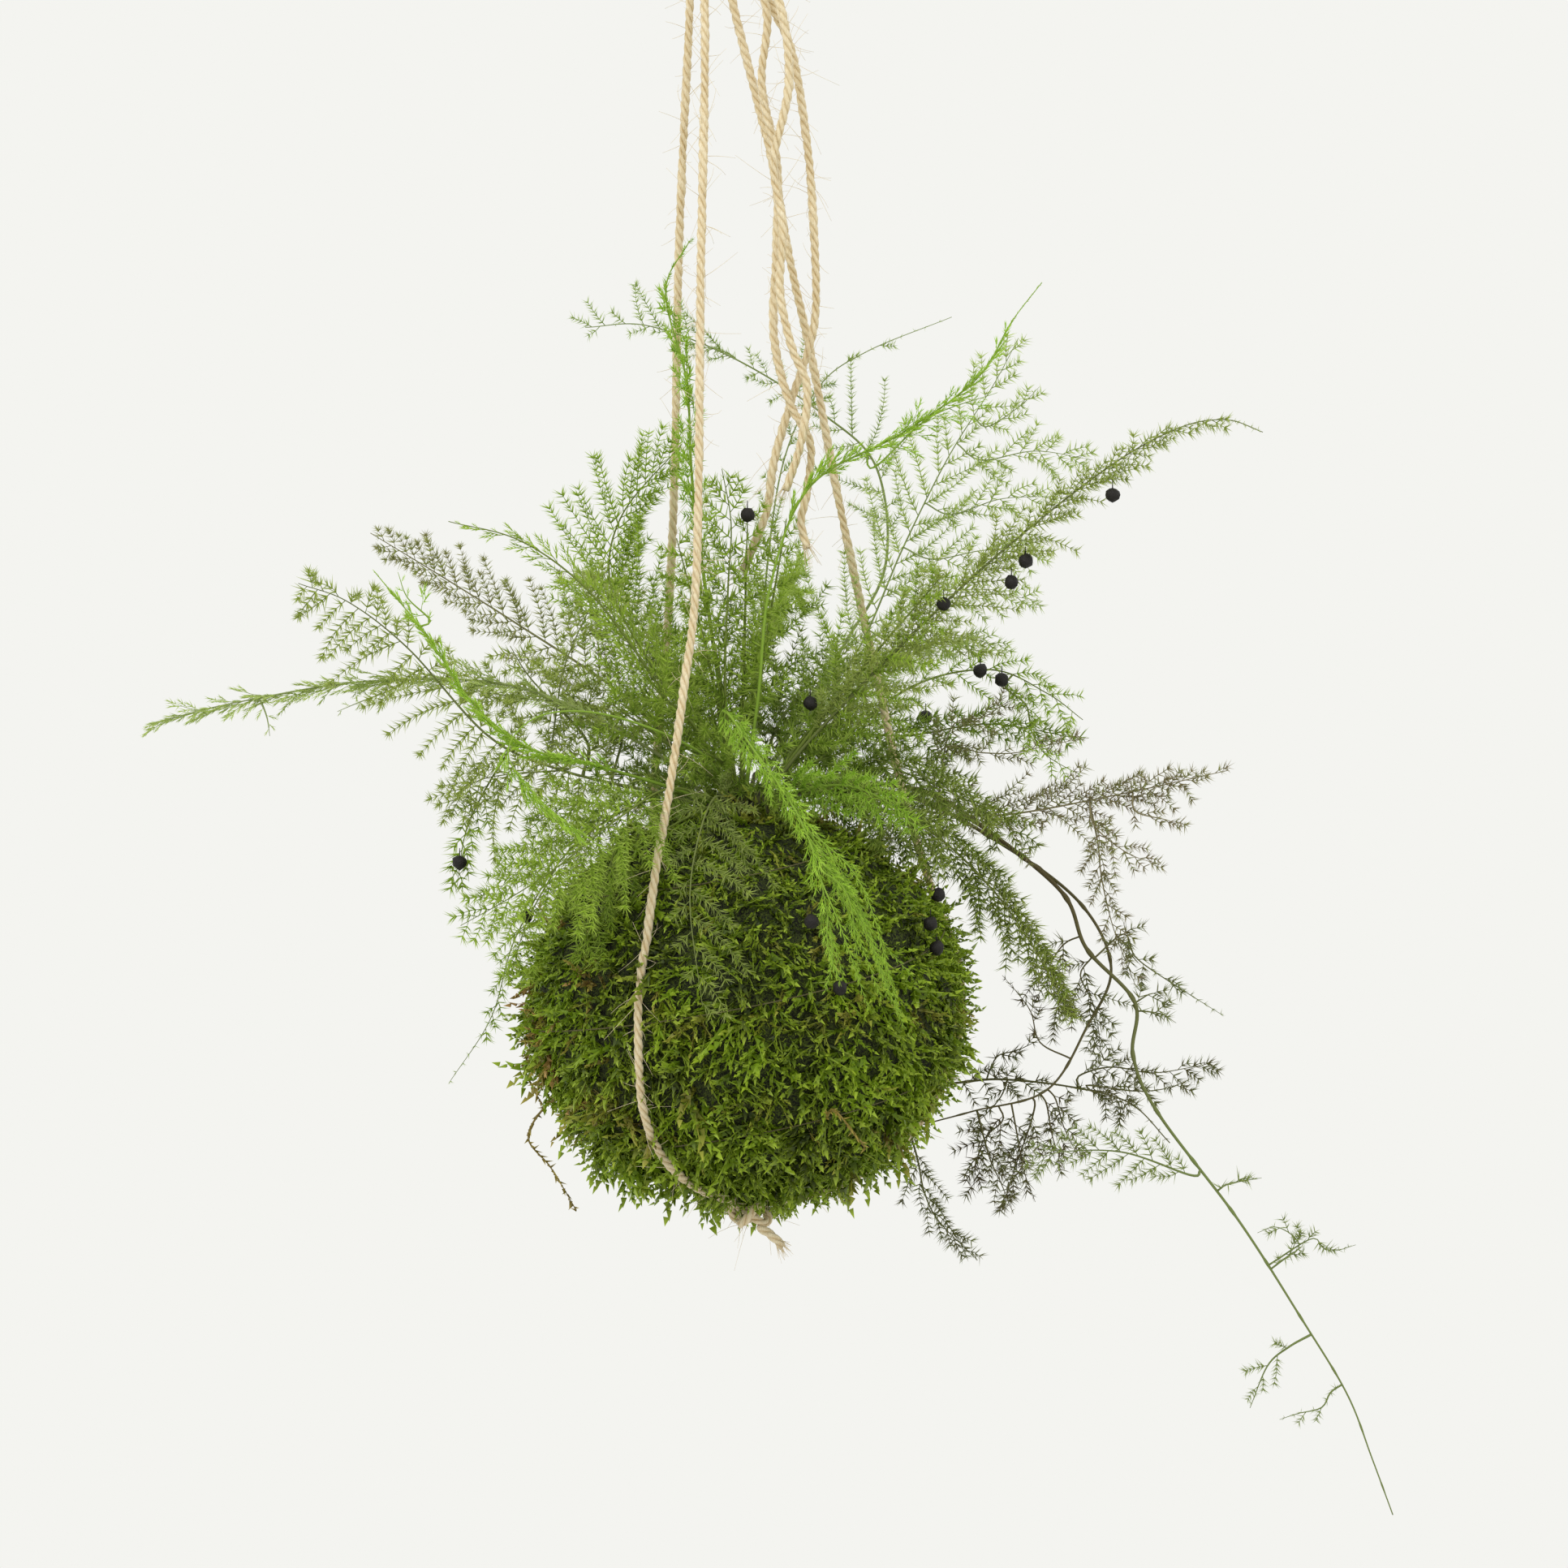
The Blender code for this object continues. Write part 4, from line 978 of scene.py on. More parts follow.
# What shoots and strands change of their host's habit
sideShoot = {"stem": 0.36, "bare": 0.12, "gap": 3, "angle": 48, "wild": 0.45, "taper": 0.5, "shoots": (),
             "strands": None, "roll": 10, "sides": (1, 1)}
strandHabit = {"gap": 2.2, "angle": 24, "taper": 0.1, "stem": 0.28}
fronds = {
    "frond_left_long": {
        "kind": "airy", "roll": 66, "branch": 15, "gap": 1.9, "angle": 24, "form": "tight", "droop": 0.25,
        "bare": 0.2, "tone": 0.7, "dry": (0.35, 0.1), "sides": (0.8, 1), "wild": 0.6, "size": 0.75,
        "taper": 0.3,
        "route": [(-30, -14, 26), (-72, -26, 46), (-120, -29, 48), (-164, -32, 41), (-192, -34, 34)],
        "shoots": [(5, [(-156, -32, 41), (-154, -33, 36), (-153, -34, 30)]),
                   (6, [(-112, -30, 46), (-124, -33, 41), (-131, -34, 38)])]},
    "frond_left_bright": {
        "kind": "lime", "roll": 84, "branch": 13, "gap": 2.4, "angle": 13, "form": "tight", "bare": 0.3,
        "droop": 0, "tone": 0.8, "size": 0.75,
        "route": [(-22, -26, 13), (-45, -50, 20), (-67, -68, 26), (-84, -77, 40), (-98, -83, 61),
                  (-114, -88, 81)],
        "shoots": [(6, [(-97, -82, 66), (-104, -84, 73), (-107, -84, 81)])]},
    "frond_left_hook": {
        "kind": "lime", "roll": 80, "branch": 9, "gap": 2.2, "angle": 15, "form": "tight", "bare": 0.7,
        "tone": 0.6, "size": 0.7, "stem": 0.5,
        "route": [(-12, -32, 24), (-40, -62, 36), (-62, -82, 36), (-72, -90, 24), (-60, -97, 8),
                  (-40, -99, -7)]},
    "frond_left_middle": {
        "kind": "dark", "roll": 8, "branch": 42, "gap": 2.8, "angle": 74, "end": "star", "sides": (0.55, 1),
        "droop": 0.55, "sweep": 0.1, "tone": 1.0, "taper": 0.45, "wild": 0.4, "size": 0.92,
        "route": [(-30, -8, 12), (-59, -20, 19), (-82, -30, 30), (-107, -42, 58), (-126, -47, 73),
                  (-142, -50, 79)],
        "shoots": [(30, [(-51, -12, 29), (-69, -14, 49), (-76, -14, 60)], {"angle": 66, "stem": 0.6}),
                   (15, [(-62, -20, 26), (-58, -20, 52), (-50, -20, 71), (-44, -20, 84)]),
                   (20, [(-41, -5, 37), (-73, -5, 43), (-94, -5, 46)], {"stem": 0.5}),
                   (20, [(-57, -30, 19), (-84, -30, 16), (-96, -30, 6)])]},
    "frond_left_upper": {
        "kind": "dark", "roll": -6, "branch": 34, "gap": 2.9, "angle": 60, "size": 0.8, "end": "star",
        "sides": (1, 0.8), "droop": -0.3, "tone": 0.9, "dry": (0, 0.6),
        "route": [(-22, 8, 26), (-42, 15, 46), (-75, 18, 68), (-102, 18, 85), (-125, 18, 99)]},
    "frond_left_feather": {
        "roll": 30, "branch": 34, "angle": 32, "form": "tight", "tone": 0.65, "taper": 1.6, "size": 0.8,
        "route": [(-17, -12, 30), (-33, -19, 56), (-51, -25, 79), (-72, -28, 94), (-95, -32, 100)]},
    "frond_left_fan": {
        "roll": 4, "branch": 42, "gap": 2.3, "angle": 50, "sides": (1, 0.7), "tone": 0.7, "taper": 0.6,
        "stem": 0.65, "size": 0.88, "wild": 0.25, "droop": 0,
        "route": [(-17, 2, 36), (-33, 8, 59), (-44, 12, 82), (-40, 15, 105), (-20, 18, 129)]},
    "frond_top_arch": {
        "kind": "airy", "roll": 10, "branch": 27, "angle": 58, "stem": 0.65, "bare": 0.42, "tone": 0.3,
        "droop": -0.1, "size": 0.6, "taper": 0.4, "wild": 0.5, "sides": (1, 0.5),
        "route": [(16, 20, 31), (35, 32, 62), (49, 36, 89), (46, 35, 122), (28, 32, 140), (-2, 22, 158),
                  (-31, 10, 168), (-52, 5, 167)]},
    "frond_top_thin": {
        "kind": "airy", "roll": 20, "branch": 15, "gap": 5, "angle": 40, "bare": 0.3, "stem": 0.5,
        "tone": 0.3, "size": 0.6, "wild": 0.6,
        "route": [(6, 10, 42), (8, 14, 80), (14, 16, 122), (26, 18, 148), (42, 18, 160), (71, 20, 172)]},
    "frond_top_bright": {
        "kind": "lime", "roll": 80, "branch": 11, "gap": 2.3, "angle": 15, "form": "tight", "bare": 0.42,
        "tone": 0.7, "droop": 0, "size": 0.7,
        "route": [(6, -16, 44), (10, -20, 80), (23, -24, 112), (53, -30, 129), (77, -36, 146),
                  (88, -39, 164), (98, -40, 177)],
        "shoots": [(8, [(44, -27, 118), (62, -30, 134), (84, -32, 142)])]},
    "frond_right_fan": {
        "kind": "airy", "roll": -6, "branch": 42, "gap": 3.9, "angle": 50, "tone": 0.7, "bare": 0.18,
        "wild": 0.35, "stem": 0.5, "sides": (1, 0.9), "size": 0.75, "droop": 0,
        "route": [(20, 2, 34), (39, -1, 59), (54, -1, 93), (69, -2, 123), (84, -6, 147), (92, -9, 162)],
        "shoots": [(9, [(82, -6, 133), (93, -8, 140), (99, -8, 146)], {"stem": 0.3}),
                   (15, [(80, -4, 122), (98, -4, 125), (117, -4, 122)], {"stem": 0.3}),
                   (15, [(70, -4, 104), (86, -4, 109), (102, -4, 110)], {"stem": 0.3}),
                   (15, [(64, -5, 89), (82, -6, 92), (100, -6, 90)], {"stem": 0.3}),
                   (15, [(58, -6, 76), (78, -8, 78), (100, -8, 75)], {"stem": 0.3}),
                   (14, [(52, -6, 61), (70, -8, 63), (88, -8, 60)], {"stem": 0.3})]},
    "frond_right_arm": {
        "kind": "dark", "roll": 12, "branch": 34, "gap": 1.8, "angle": 38, "tone": 0.9, "taper": 1.2,
        "sides": (0.75, 1), "droop": 0.2, "size": 0.75, "wild": 0.4, "bare": 0.14,
        "route": [(24, -14, 30), (55, -26, 62), (84, -34, 89), (118, -42, 116), (141, -46, 129),
                  (157, -46, 132), (169, -46, 128)]},
    "frond_right_middle": {
        "roll": -10, "branch": 25, "gap": 4.4, "size": 0.8, "angle": 54, "tone": 1.0, "droop": 0.45,
        "taper": 0.5, "wild": 0.5,
        "route": [(29, 14, 25), (57, 20, 47), (84, 20, 53), (103, 18, 45), (115, 16, 36)],
        "shoots": [(9, [(89, 18, 47), (96, 18, 41), (98, 18, 32), (103, 18, 24), (115, 18, 17)],
                    {"size": 0.7})]},
    "frond_right_brown": {
        "kind": "dark", "roll": 14, "branch": 32, "gap": 2.3, "angle": 44, "droop": 0.2, "size": 0.75,
        "wild": 0.5, "dry": (0, 0.9),
        "route": [(35, 24, 12), (63, 34, 5), (90, 34, 4), (129, 32, 11), (165, 28, 19)],
        "shoots": [(12, [(71, 30, 33), (82, 30, 37), (90, 30, 42), (98, 30, 45)]),
                   (10, [(68, 30, 26), (82, 30, 25), (93, 30, 25), (106, 30, 28), (118, 30, 30)]),
                   (9, [(134, 30, 5), (145, 30, 2), (149, 30, -1)]),
                   (12, [(120, 30, 0), (131, 30, -9), (142, 30, -13)]),
                   (12, [(122, 44, -6), (123, 44, -16), (125, 44, -26), (128, 44, -37), (135, 44, -55)])]},
    "frond_right_dark": {
        "roll": 50, "branch": 27, "gap": 2.8, "angle": 55, "tone": 0.35, "droop": 0.3,
        "route": [(25, 24, 30), (57, 40, 31), (85, 46, 35), (116, 48, 30)]},
    "vine_trailing": {
        "kind": "brown", "stem": 1.05, "branch": 0, "tone": 0.6, "size": 0.85, "dry": (1, 0),
        "dryOver": (120, 190),
        "route": [(32, 42, 14), (62, 52, 12), (85, 52, -2), (110, 46, -23), (118, 42, -42), (134, 36, -60),
                  (133, 30, -78), (141, 24, -97), (167, 14, -132), (188, 10, -165), (203, 8, -190),
                  (211, 6, -211), (218, 6, -230)],
        "shoots": [(6, [(183, 9, -144), (187, 9, -141), (185, 9, -137), (179, 9, -134), (173, 9, -136)],
                    {"size": 0.7}),
                   (6, [(191, 9, -138), (195, 9, -141), (199, 9, -142), (206, 9, -140)], {"size": 0.7}),
                   (5, [(197, 5, -189), (194, 5, -194), (186, 5, -196), (180, 5, -198)], {"size": 0.6}),
                   (6, [(164, 14, -120), (175, 14, -118)]),
                   (8, [(131, 44, -37), (135, 44, -45), (146, 44, -53), (157, 44, -60), (165, 44, -65)]),
                   (7, [(140, 36, -57), (144, 36, -59)]),
                   (8, [(137, 34, -63), (143, 34, -64), (148, 34, -67)]),
                   (20, [(111, 44, -40), (107, 44, -45), (105, 44, -51), (107, 44, -59), (113, 44, -67)]),
                   (18, [(120, 44, -45), (116, 44, -51), (120, 44, -60), (122, 44, -68), (123, 44, -79)])]},
    "vine_curled": {
        "kind": "brown", "stem": 1.0, "branch": 0, "tone": 0.3, "size": 0.88, "dry": (0.9, 0.9),
        "route": [(22, 52, 14), (58, 66, 10), (91, 66, -7), (117, 58, -27), (127, 50, -49), (118, 42, -69),
                  (104, 36, -90), (79, 34, -97), (57, 36, -103)],
        "shoots": [(6, [(102, 40, -74), (99, 40, -64), (95, 40, -58), (89, 40, -51)], {"bare": 0.4}),
                   (11, [(100, 36, -95), (98, 36, -103), (93, 36, -117), (89, 36, -131)]),
                   (10, [(104, 36, -95), (106, 36, -106), (110, 36, -117)]),
                   (9, [(107, 36, -93), (110, 36, -103), (115, 36, -113)]),
                   (12, [(89, 34, -100), (83, 34, -106), (80, 34, -114), (79, 34, -124)]),
                   (8, [(94, 34, -106), (96, 34, -117), (100, 34, -128)])]},
    "vine_lower": {
        "kind": "brown", "stem": 0.9, "branch": 18, "bare": 0.5, "gap": 4.5, "angle": 60, "roll": 20,
        "droop": 0.6, "tone": 0.3, "size": 0.85, "wild": 0.5, "dry": (0.8, 0.7),
        "route": [(8, 56, 18), (30, 83, -14), (46, 88, -60), (56, 84, -82), (67, 74, -90), (89, 62, -88),
                  (114, 50, -90), (133, 42, -95), (146, 36, -108)],
        "shoots": [(12, [(116, 50, -86), (127, 50, -83), (141, 50, -85), (155, 50, -83), (164, 50, -81)]),
                   (9, [(119, 46, -89), (135, 46, -91), (146, 46, -90), (156, 46, -86)]),
                   (10, [(120, 50, -91), (129, 50, -93), (132, 50, -101)]),
                   (7, [(86, 66, -85), (89, 66, -80), (96, 66, -78), (106, 66, -73)], {"bare": 0.3}),
                   (9, [(92, 66, -88), (90, 66, -94), (85, 66, -100), (79, 66, -105)])]},
    "spray_trailing_upper": {
        "kind": "brown", "host": "vine_trailing", "stem": 0.5, "branch": 17, "gap": 3.4, "angle": 55,
        "size": 0.8, "tone": 0.9, "bare": 0.15, "droop": 0.1, "taper": 0.4,
        "route": [(151, 13, -117), (128, 9, -109), (106, 8, -109), (99, 7, -113)]},
    "spray_trailing_lower": {
        "kind": "brown", "host": "vine_trailing", "stem": 0.45, "branch": 11, "angle": 55, "size": 0.65,
        "tone": 0.9, "bare": 0.3,
        "route": [(183, 6, -174), (176, 5, -180), (170, 4, -194)]},
    "spray_curled_middle": {
        "kind": "brown", "host": "vine_curled", "stem": 0.45, "branch": 14, "gap": 3.2, "angle": 50,
        "size": 0.75, "tone": 0.4, "droop": 0.5, "bare": 0.15, "dry": (0.8, 0.8),
        "route": [(84, 26, -112), (88, 24, -121), (92, 23, -131)]},
    "spray_curled_end": {
        "kind": "brown", "host": "vine_curled", "stem": 0.45, "branch": 13, "gap": 2.8, "angle": 42,
        "size": 0.75, "droop": 0.4, "bare": 0.15, "taper": 0.6, "dry": (0.6, 0.6),
        "route": [(60, 31, -114), (62, 29, -124), (67, 28, -134), (80, 26, -147)]},
    "spray_left_hanging": {
        "host": "frond_left_middle", "stem": 0.4, "branch": 9, "gap": 3.4, "angle": 45, "tone": 0.6,
        "bare": 0.1, "taper": 0.3,
        "route": [(-82, -26, 15), (-87, -30, 5), (-90, -32, -4), (-92, -34, -19)]},
    "frond_right_drooping": {
        "roll": 10, "branch": 32, "gap": 1.75, "angle": 44, "droop": 0.6, "tone": 0.08, "dry": (0, 0.4),
        "size": 0.95, "wild": 0.4,
        "route": [(37, 4, 8), (61, 0, 0), (83, -6, -20), (99, -8, -43), (110, -8, -64)],
        "shoots": [(24, [(42, -10, 22), (63, -14, 16), (82, -16, 2)]),
                   (22, [(36, -24, 14), (52, -36, 4), (66, -42, -12)]),
                   (24, [(46, 10, 20), (74, 16, 10), (96, 20, -4)])]},
    "frond_front_bright": {
        "kind": "lime", "roll": 12, "branch": 10, "gap": 2.2, "angle": 28, "form": "tight", "droop": 0.4,
        "tone": 0.55, "bare": 0.3, "size": 0.75,
        "route": [(-6, -24, 26), (-5, -46, 38), (5, -74, 25), (18, -92, 6), (25, -99, -12), (30, -98, -38)],
        "strands": {"count": 13, "from": (0.66, 0.95), "to": [(61, -88, -62), (28, -99, -52)], "branch": 3.2,
                    "gap": 1.5, "size": 0.55}},
    "frond_front_yellow": {
        "kind": "lime", "roll": 30, "branch": 26, "gap": 2.6, "angle": 50, "droop": 0.3, "tone": 0.55,
        "size": 0.8,
        "route": [(18, -27, 12), (34, -40, 14), (47, -50, 9), (57, -56, 0)]},
    "frond_front_left": {
        "roll": 20, "branch": 38, "gap": 2.8, "angle": 60, "droop": 0.2, "stem": 0.5, "size": 0.85,
        "bare": 0.36,
        "route": [(-22, -44, 13), (-39, -69, 3), (-56, -82, -11), (-71, -86, -21), (-87, -88, -30)],
        "shoots": [(24, [(-40, -66, -8), (-46, -56, -24), (-50, -52, -40)], {"gap": 3.4}),
                   (18, [(-36, -58, -4), (-39, -50, -22), (-41, -50, -42)], {"gap": 3.4}),
                   (18, [(-60, -72, -16), (-68, -58, -30), (-74, -46, -48)], {"gap": 3.6}),
                   (24, [(-48, -62, 2), (-62, -56, -6), (-78, -48, -20)]),
                   (20, [(-38, -54, 8), (-52, -48, 8), (-68, -42, 2)])]},
    "frond_front_middle": {
        "kind": "dark", "roll": 10, "branch": 38, "gap": 5.6, "angle": 70, "droop": 0.2, "stem": 0.45,
        "tone": 0.3, "taper": 0.5, "size": 0.8, "sides": (0.3, 1),
        "route": [(-8, -48, 10), (-13, -74, -4), (-15, -90, -24), (-11, -96, -55)]},
    "frond_left_low": {
        "roll": 10, "branch": 11, "gap": 4, "angle": 45, "stem": 0.4, "tone": 0.6, "size": 0.75,
        "route": [(-33, 10, 8), (-58, 18, -8), (-76, 20, -37), (-84, 14, -64), (-98, 10, -86)]},
    "frond_centre": {
        "roll": 15, "branch": 30, "gap": 3.0, "angle": 62, "tone": 0.6,
        "route": [(-5, -14, 45), (-4, -18, 79), (-3, -19, 100), (-6, -20, 118)]},
    "frond_centre_tall": {
        "kind": "lime", "roll": 70, "branch": 14, "gap": 4, "angle": 30, "bare": 0.4, "tone": 0.4,
        "stem": 0.8, "form": "open",
        "route": [(-9, 8, 59), (-16, 4, 113), (-18, -1, 148), (-25, -2, 178), (-17, -3, 195)]},
    "frond_back_left": {
        "kind": "dark", "roll": 60, "branch": 40, "gap": 4.2,
        "route": [(-15, 38, 32), (-30, 75, 61), (-45, 105, 82), (-58, 135, 92)]},
    "frond_back_middle": {
        "roll": 80, "branch": 44, "gap": 4.2, "tone": 0.45,
        "route": [(2, 40, 37), (10, 85, 67), (16, 125, 85), (20, 160, 81)]},
    "frond_back_right": {
        "kind": "dark", "roll": 60, "branch": 40, "gap": 4.2,
        "route": [(16, 40, 40), (41, 84, 51), (65, 112, 64), (89, 135, 62)]},
    "frond_back_low": {
        "roll": 80, "branch": 34, "gap": 4.2, "tone": 0.45, "droop": 0.4,
        "route": [(-8, 46, 14), (-16, 85, 16), (-22, 115, 1), (-27, 130, -26)]},
}
# Young shoots that fill the heart of the plant: how many, how long, and how far they lean from
# upright; the rest as above
heart = {
    "depth": 42,  # they stay behind the front twine
    "turns": 5,  # the row of shoots goes this often round the crown
    "habit": {"stem": 0.8, "wild": 0.4, "bare": 0.2, "taper": 0.5, "size": 0.9},
    "shoots": {
        "tall": {"stems": 14, "long": (60, 112), "lean": (5, 62), "branch": 32, "angle": 66, "gap": 5.0,
                 "tone": 0.55},
        "low": {"stems": 12, "long": (32, 62), "lean": (50, 100), "branch": 24, "angle": 55, "gap": 3.8,
                "tone": 0.45},
    },
}
fern = {
    "crownRadius": 14,
    "crownGap": 0.3,  # stems start this far off the crown
    "leastRise": 0.6,  # and leave it at least this steeply
    "step": 1.5,
    "jointGap": 21,  # thick stems have a swelling in each such length
    "branchStep": 5,
    "leastBranch": 3.5,  # a shorter branch is a single sprig
    "twigRadii": (0.15, 0.07),
    "needleRadius": 0.31,
    "needleLengths": (0.8, 1.15),
    "needleStray": 14,  # degrees
    "sprigRadius": 0.16,
    "sprigPatterns": 3,
    # sprigs get painted shade near the crown and painted light away from it
    "shade": 0.3,  # sprigs at the crown are this much darker than the tone of their frond,
    "light": 0.55,  # and lighter again by this much
    "lightAt": 110,  # at such a distance from it
    "toneStray": 0.12,
    "dryStray": (0.5, 1.2),
}

# Whorls along a sprig, needles in each, their length, their angles at the foot and the tip, and
# flatness; lean and gap are how sprigs sit along a branch
sprigForms = {
    "open": {"whorls": 3, "needles": 4, "length": 5.0, "angles": (62, 36), "flat": 0.5, "long": 5.6,
             "lean": 44, "gap": 3.1},
    "brush": {"whorls": 1, "needles": 7, "length": 6.7, "angles": (56, 56), "flat": 0.7, "long": 0,
              "lean": 0, "gap": 2.2},
    "tight": {"whorls": 3, "needles": 3, "length": 4.2, "angles": (30, 14), "flat": 0.8, "long": 5.6,
              "lean": 22, "gap": 2.4},
    "star": {"whorls": 2, "needles": 7, "length": 4.4, "angles": (88, 40), "flat": 1, "long": 1.2,
             "lean": 0, "gap": 3},
}
# Kind: (in the shade of the plant, in the light, at the needle tips, stems, dry)
foliageColours = {
    "fresh": ("46640C", "94B432", "C0D26A", "708038", "8A8450"),
    "lime": ("5E8A14", "9AC432", "C6DC70", "86A53C", "9A9648"),
    "airy": ("6C8C34", "AAC060", "C8D892", "86965A", "969468"),
    "dark": ("40560F", "96A848", "BAC47C", "707A44", "8A8060"),
    "brown": ("54602A", "86964E", "A8B478", "74824A", "5E5438"),
}


# One sprig of needles with its twig
def sprigPattern(form, random):
    growth = Growth()
    shape = sprigForms[form]
    share = np.repeat(np.linspace(1 / shape["whorls"], 1, shape["whorls"]), shape["needles"])
    count = len(share)
    turn = np.arange(count) * math.tau / shape["needles"] + random.uniform(0, 1.2, count)
    angle = np.interp(share, [0, 1], shape["angles"]) + random.normal(0, fern["needleStray"], count)
    angle = np.radians(angle)
    headings = np.column_stack([np.sin(angle) * np.cos(turn), shape["flat"] * np.sin(angle) * np.sin(turn),
                                np.cos(angle)])
    places = np.column_stack([np.zeros(count), np.zeros(count), share * shape["long"] * 0.9])
    long = shape["length"] * random.uniform(*fern["needleLengths"], count)
    long *= np.interp(share, [0, 0.6, 1], [1, 0.95, 0.8])  # shorter towards the tip
    across = np.cross(headings, [0.2, 1, 0.3])
    wide = fern["needleRadius"]
    growth.addCopies(cone, framesAt(places, headings, across, wide, wide, long), 0)
    if shape["long"]:
        wide = fern["sprigRadius"]
        twig = framesAt([(0, 0, 0)], [(0, 0, 1)], [(1, 0, 0)], wide, wide, shape["long"] + 1)
        growth.addCopies(cone, twig, 0)
    return growth.pattern()


# Needle leaf of the fern: thin, waxy and a little translucent; the light that comes through it is painted
# into its colours, so its shaded side stays green
def makeNeedleLeaf(kind):
    shade, light, tip, stem, dry = foliageColours[kind]
    material, tree, shader = newMaterial("needleLeaf_" + kind, **{
        "Roughness": 0.55, "Specular IOR Level": 0.14})
    own = pointValues(tree)
    # the green drifts from branch to branch, about 12 mm apart
    drift = addNode(tree, "TexNoise", {"Scale": 80.0, "Detail": 3.0}, {"Vector": own["place"]})
    depth = addNode(tree, "Math", {"operation": "MULTIPLY_ADD", 1: 0.9, 2: -0.45},
                    {0: drift.outputs["Fac"]})
    lift = addNode(tree, "Math", {"operation": "ADD", "use_clamp": True},
                   {0: depth.outputs[0], 1: own["tone"]})
    leaf = addNode(tree, "Mix", {"data_type": "RGBA", 6: shade, 7: light}, {0: lift.outputs[0]})
    reach = addNode(tree, "Math", {"operation": "MULTIPLY", 1: 0.55}, {0: own["tip"]})
    pale = addNode(tree, "Mix", {"data_type": "RGBA", 7: tip}, {0: reach.outputs[0], 6: leaf.outputs[2]})
    wiry = addNode(tree, "Mix", {"data_type": "RGBA", 7: stem}, {0: own["stem"], 6: pale.outputs[2]})
    aged = addNode(tree, "Mix", {"data_type": "RGBA", 7: dry}, {0: own["dry"], 6: wiry.outputs[2]})
    tree.links.new(aged.outputs[2], shader.inputs["Base Color"])
    return material


needleLeaves = {kind: makeNeedleLeaf(kind) for kind in foliageColours}
sprigRandom = np.random.default_rng(12)
sprigs = {form: [sprigPattern(form, sprigRandom) for index in range(fern["sprigPatterns"])]
          for form in sprigForms}


# The route of a stem: from just off the crown, or from the point of its host nearest to its first mark
def stemRoute(marks, host=None):
    first = np.array(marks[0], float)
    if host is None:
        first[2] = max(first[2], fern["leastRise"] * math.hypot(first[0], first[1]))
        start = unit(first) * (fern["crownRadius"] + fern["crownGap"])
    else:
        hostMarks = (host - crownCentre) / mm
        start = hostMarks[np.linalg.norm(hostMarks - first, axis=1).argmin()]
    return crownCentre + smoothRoute([start, *marks], fern["step"]) * mm


# Place and heading at a distance along a route
def pointAt(route, along, headings, at):
    place = np.array([np.interp(at, along, route[:, axis]) for axis in range(3)])
    return place, unit(np.array([np.interp(at, along, headings[:, axis]) for axis in range(3)]))


# A side branch: it bends towards the frond's heading and droops
def branchLine(base, heading, towards, long, spec, random):
    steps = max(3, math.ceil(long / fern["branchStep"]))
    points = [base]
    pull = towards * spec["sweep"] - upward * spec["droop"] + random.normal(0, 0.8 * spec["wild"], 3)
    for index in range(steps):
        heading = unit(heading + pull / steps)
        points.append(points[-1] + heading * long / steps * mm)
    return np.array(points)


# Feathers a line with sprigs on alternate sides; gathered rows are (place, heading, side, size)
def featherLine(line, plane, spec, random, gathered):
    form = sprigForms[spec["form"]]
    along = alongRoute(line) / mm
    headings = unit(np.gradient(line, axis=0))
    side = random.choice([-1, 1])
    lean = math.radians(form["lean"])
    at = form["gap"] * random.uniform(0.4, 1)
    while at < along[-1]:
        place, heading = pointAt(line, along, headings, at)
        across = unit(np.cross(plane, heading)) * side
        out = unit(heading * math.cos(lean) + across * math.sin(lean) + plane * random.normal(0, 0.2))
        size = spec["size"] * (1 - 0.3 * at / along[-1]) * random.uniform(0.85, 1.15)
        gathered["rows"][spec["form"]].append((place, out, across, size))
        side = -side
        at += form["gap"] * spec["size"] * random.uniform(0.75, 1.25)
    last = (line[-1], headings[-1], unit(np.cross(plane, headings[-1])), spec["size"] * 0.85)
    gathered["rows"][spec["end"] or spec["form"]].append(last)


# A stem's side branches, to one side and the other in turn
def growBranches(spec, route, along, headings, gathered, random):
    roll = math.radians(spec["roll"])
    at = along[-1] * spec["bare"]
    side = 1
    while spec["branch"] and at < along[-1] - 1:
        share = (at / along[-1] - spec["bare"]) / (1 - spec["bare"])
        place, heading = pointAt(route, along, headings, at)
        facing = unit(np.cross(heading, backward))
        if facing[2] - 0.3 * facing[0] < 0:
            facing = -facing  # the upper side, or the left one
        tilt = roll + random.normal(0, 0.7 * spec["wild"])
        across = (facing * math.cos(tilt) + np.cross(heading, facing) * math.sin(tilt)) * side
        angle = math.radians(spec["angle"] * (1.08 - 0.3 * share))  # they close up towards the tip
        angle *= 1 + spec["wild"] * random.uniform(-0.5, 0.5)
        # branches grow to full length over the first sixth, then taper off to the tip
        swell = min(1, 0.45 + share / 0.16) * (1 - share) ** spec["taper"] + 0.08
        long = spec["branch"] * swell * spec["sides"][side < 0]
        long *= random.uniform(1 - 1.5 * spec["wild"], 1.12)
        out = unit(heading * math.cos(angle) + across * math.sin(angle))
        if long > fern["leastBranch"]:
            line = branchLine(place, out, heading, long, spec, random)
            gathered["twigs"].append((line, np.linspace(*fern["twigRadii"], len(line)) * mm))
            featherLine(line, unit(np.cross(heading, out)), spec, random, gathered)
        else:
            gathered["rows"][spec["form"]].append((place, out, heading, spec["size"] * (0.9 - 0.5 * share)))
        side = -side
        at += spec["gap"] * random.uniform(0.6, 1.4) * (1 - 0.2 * share)


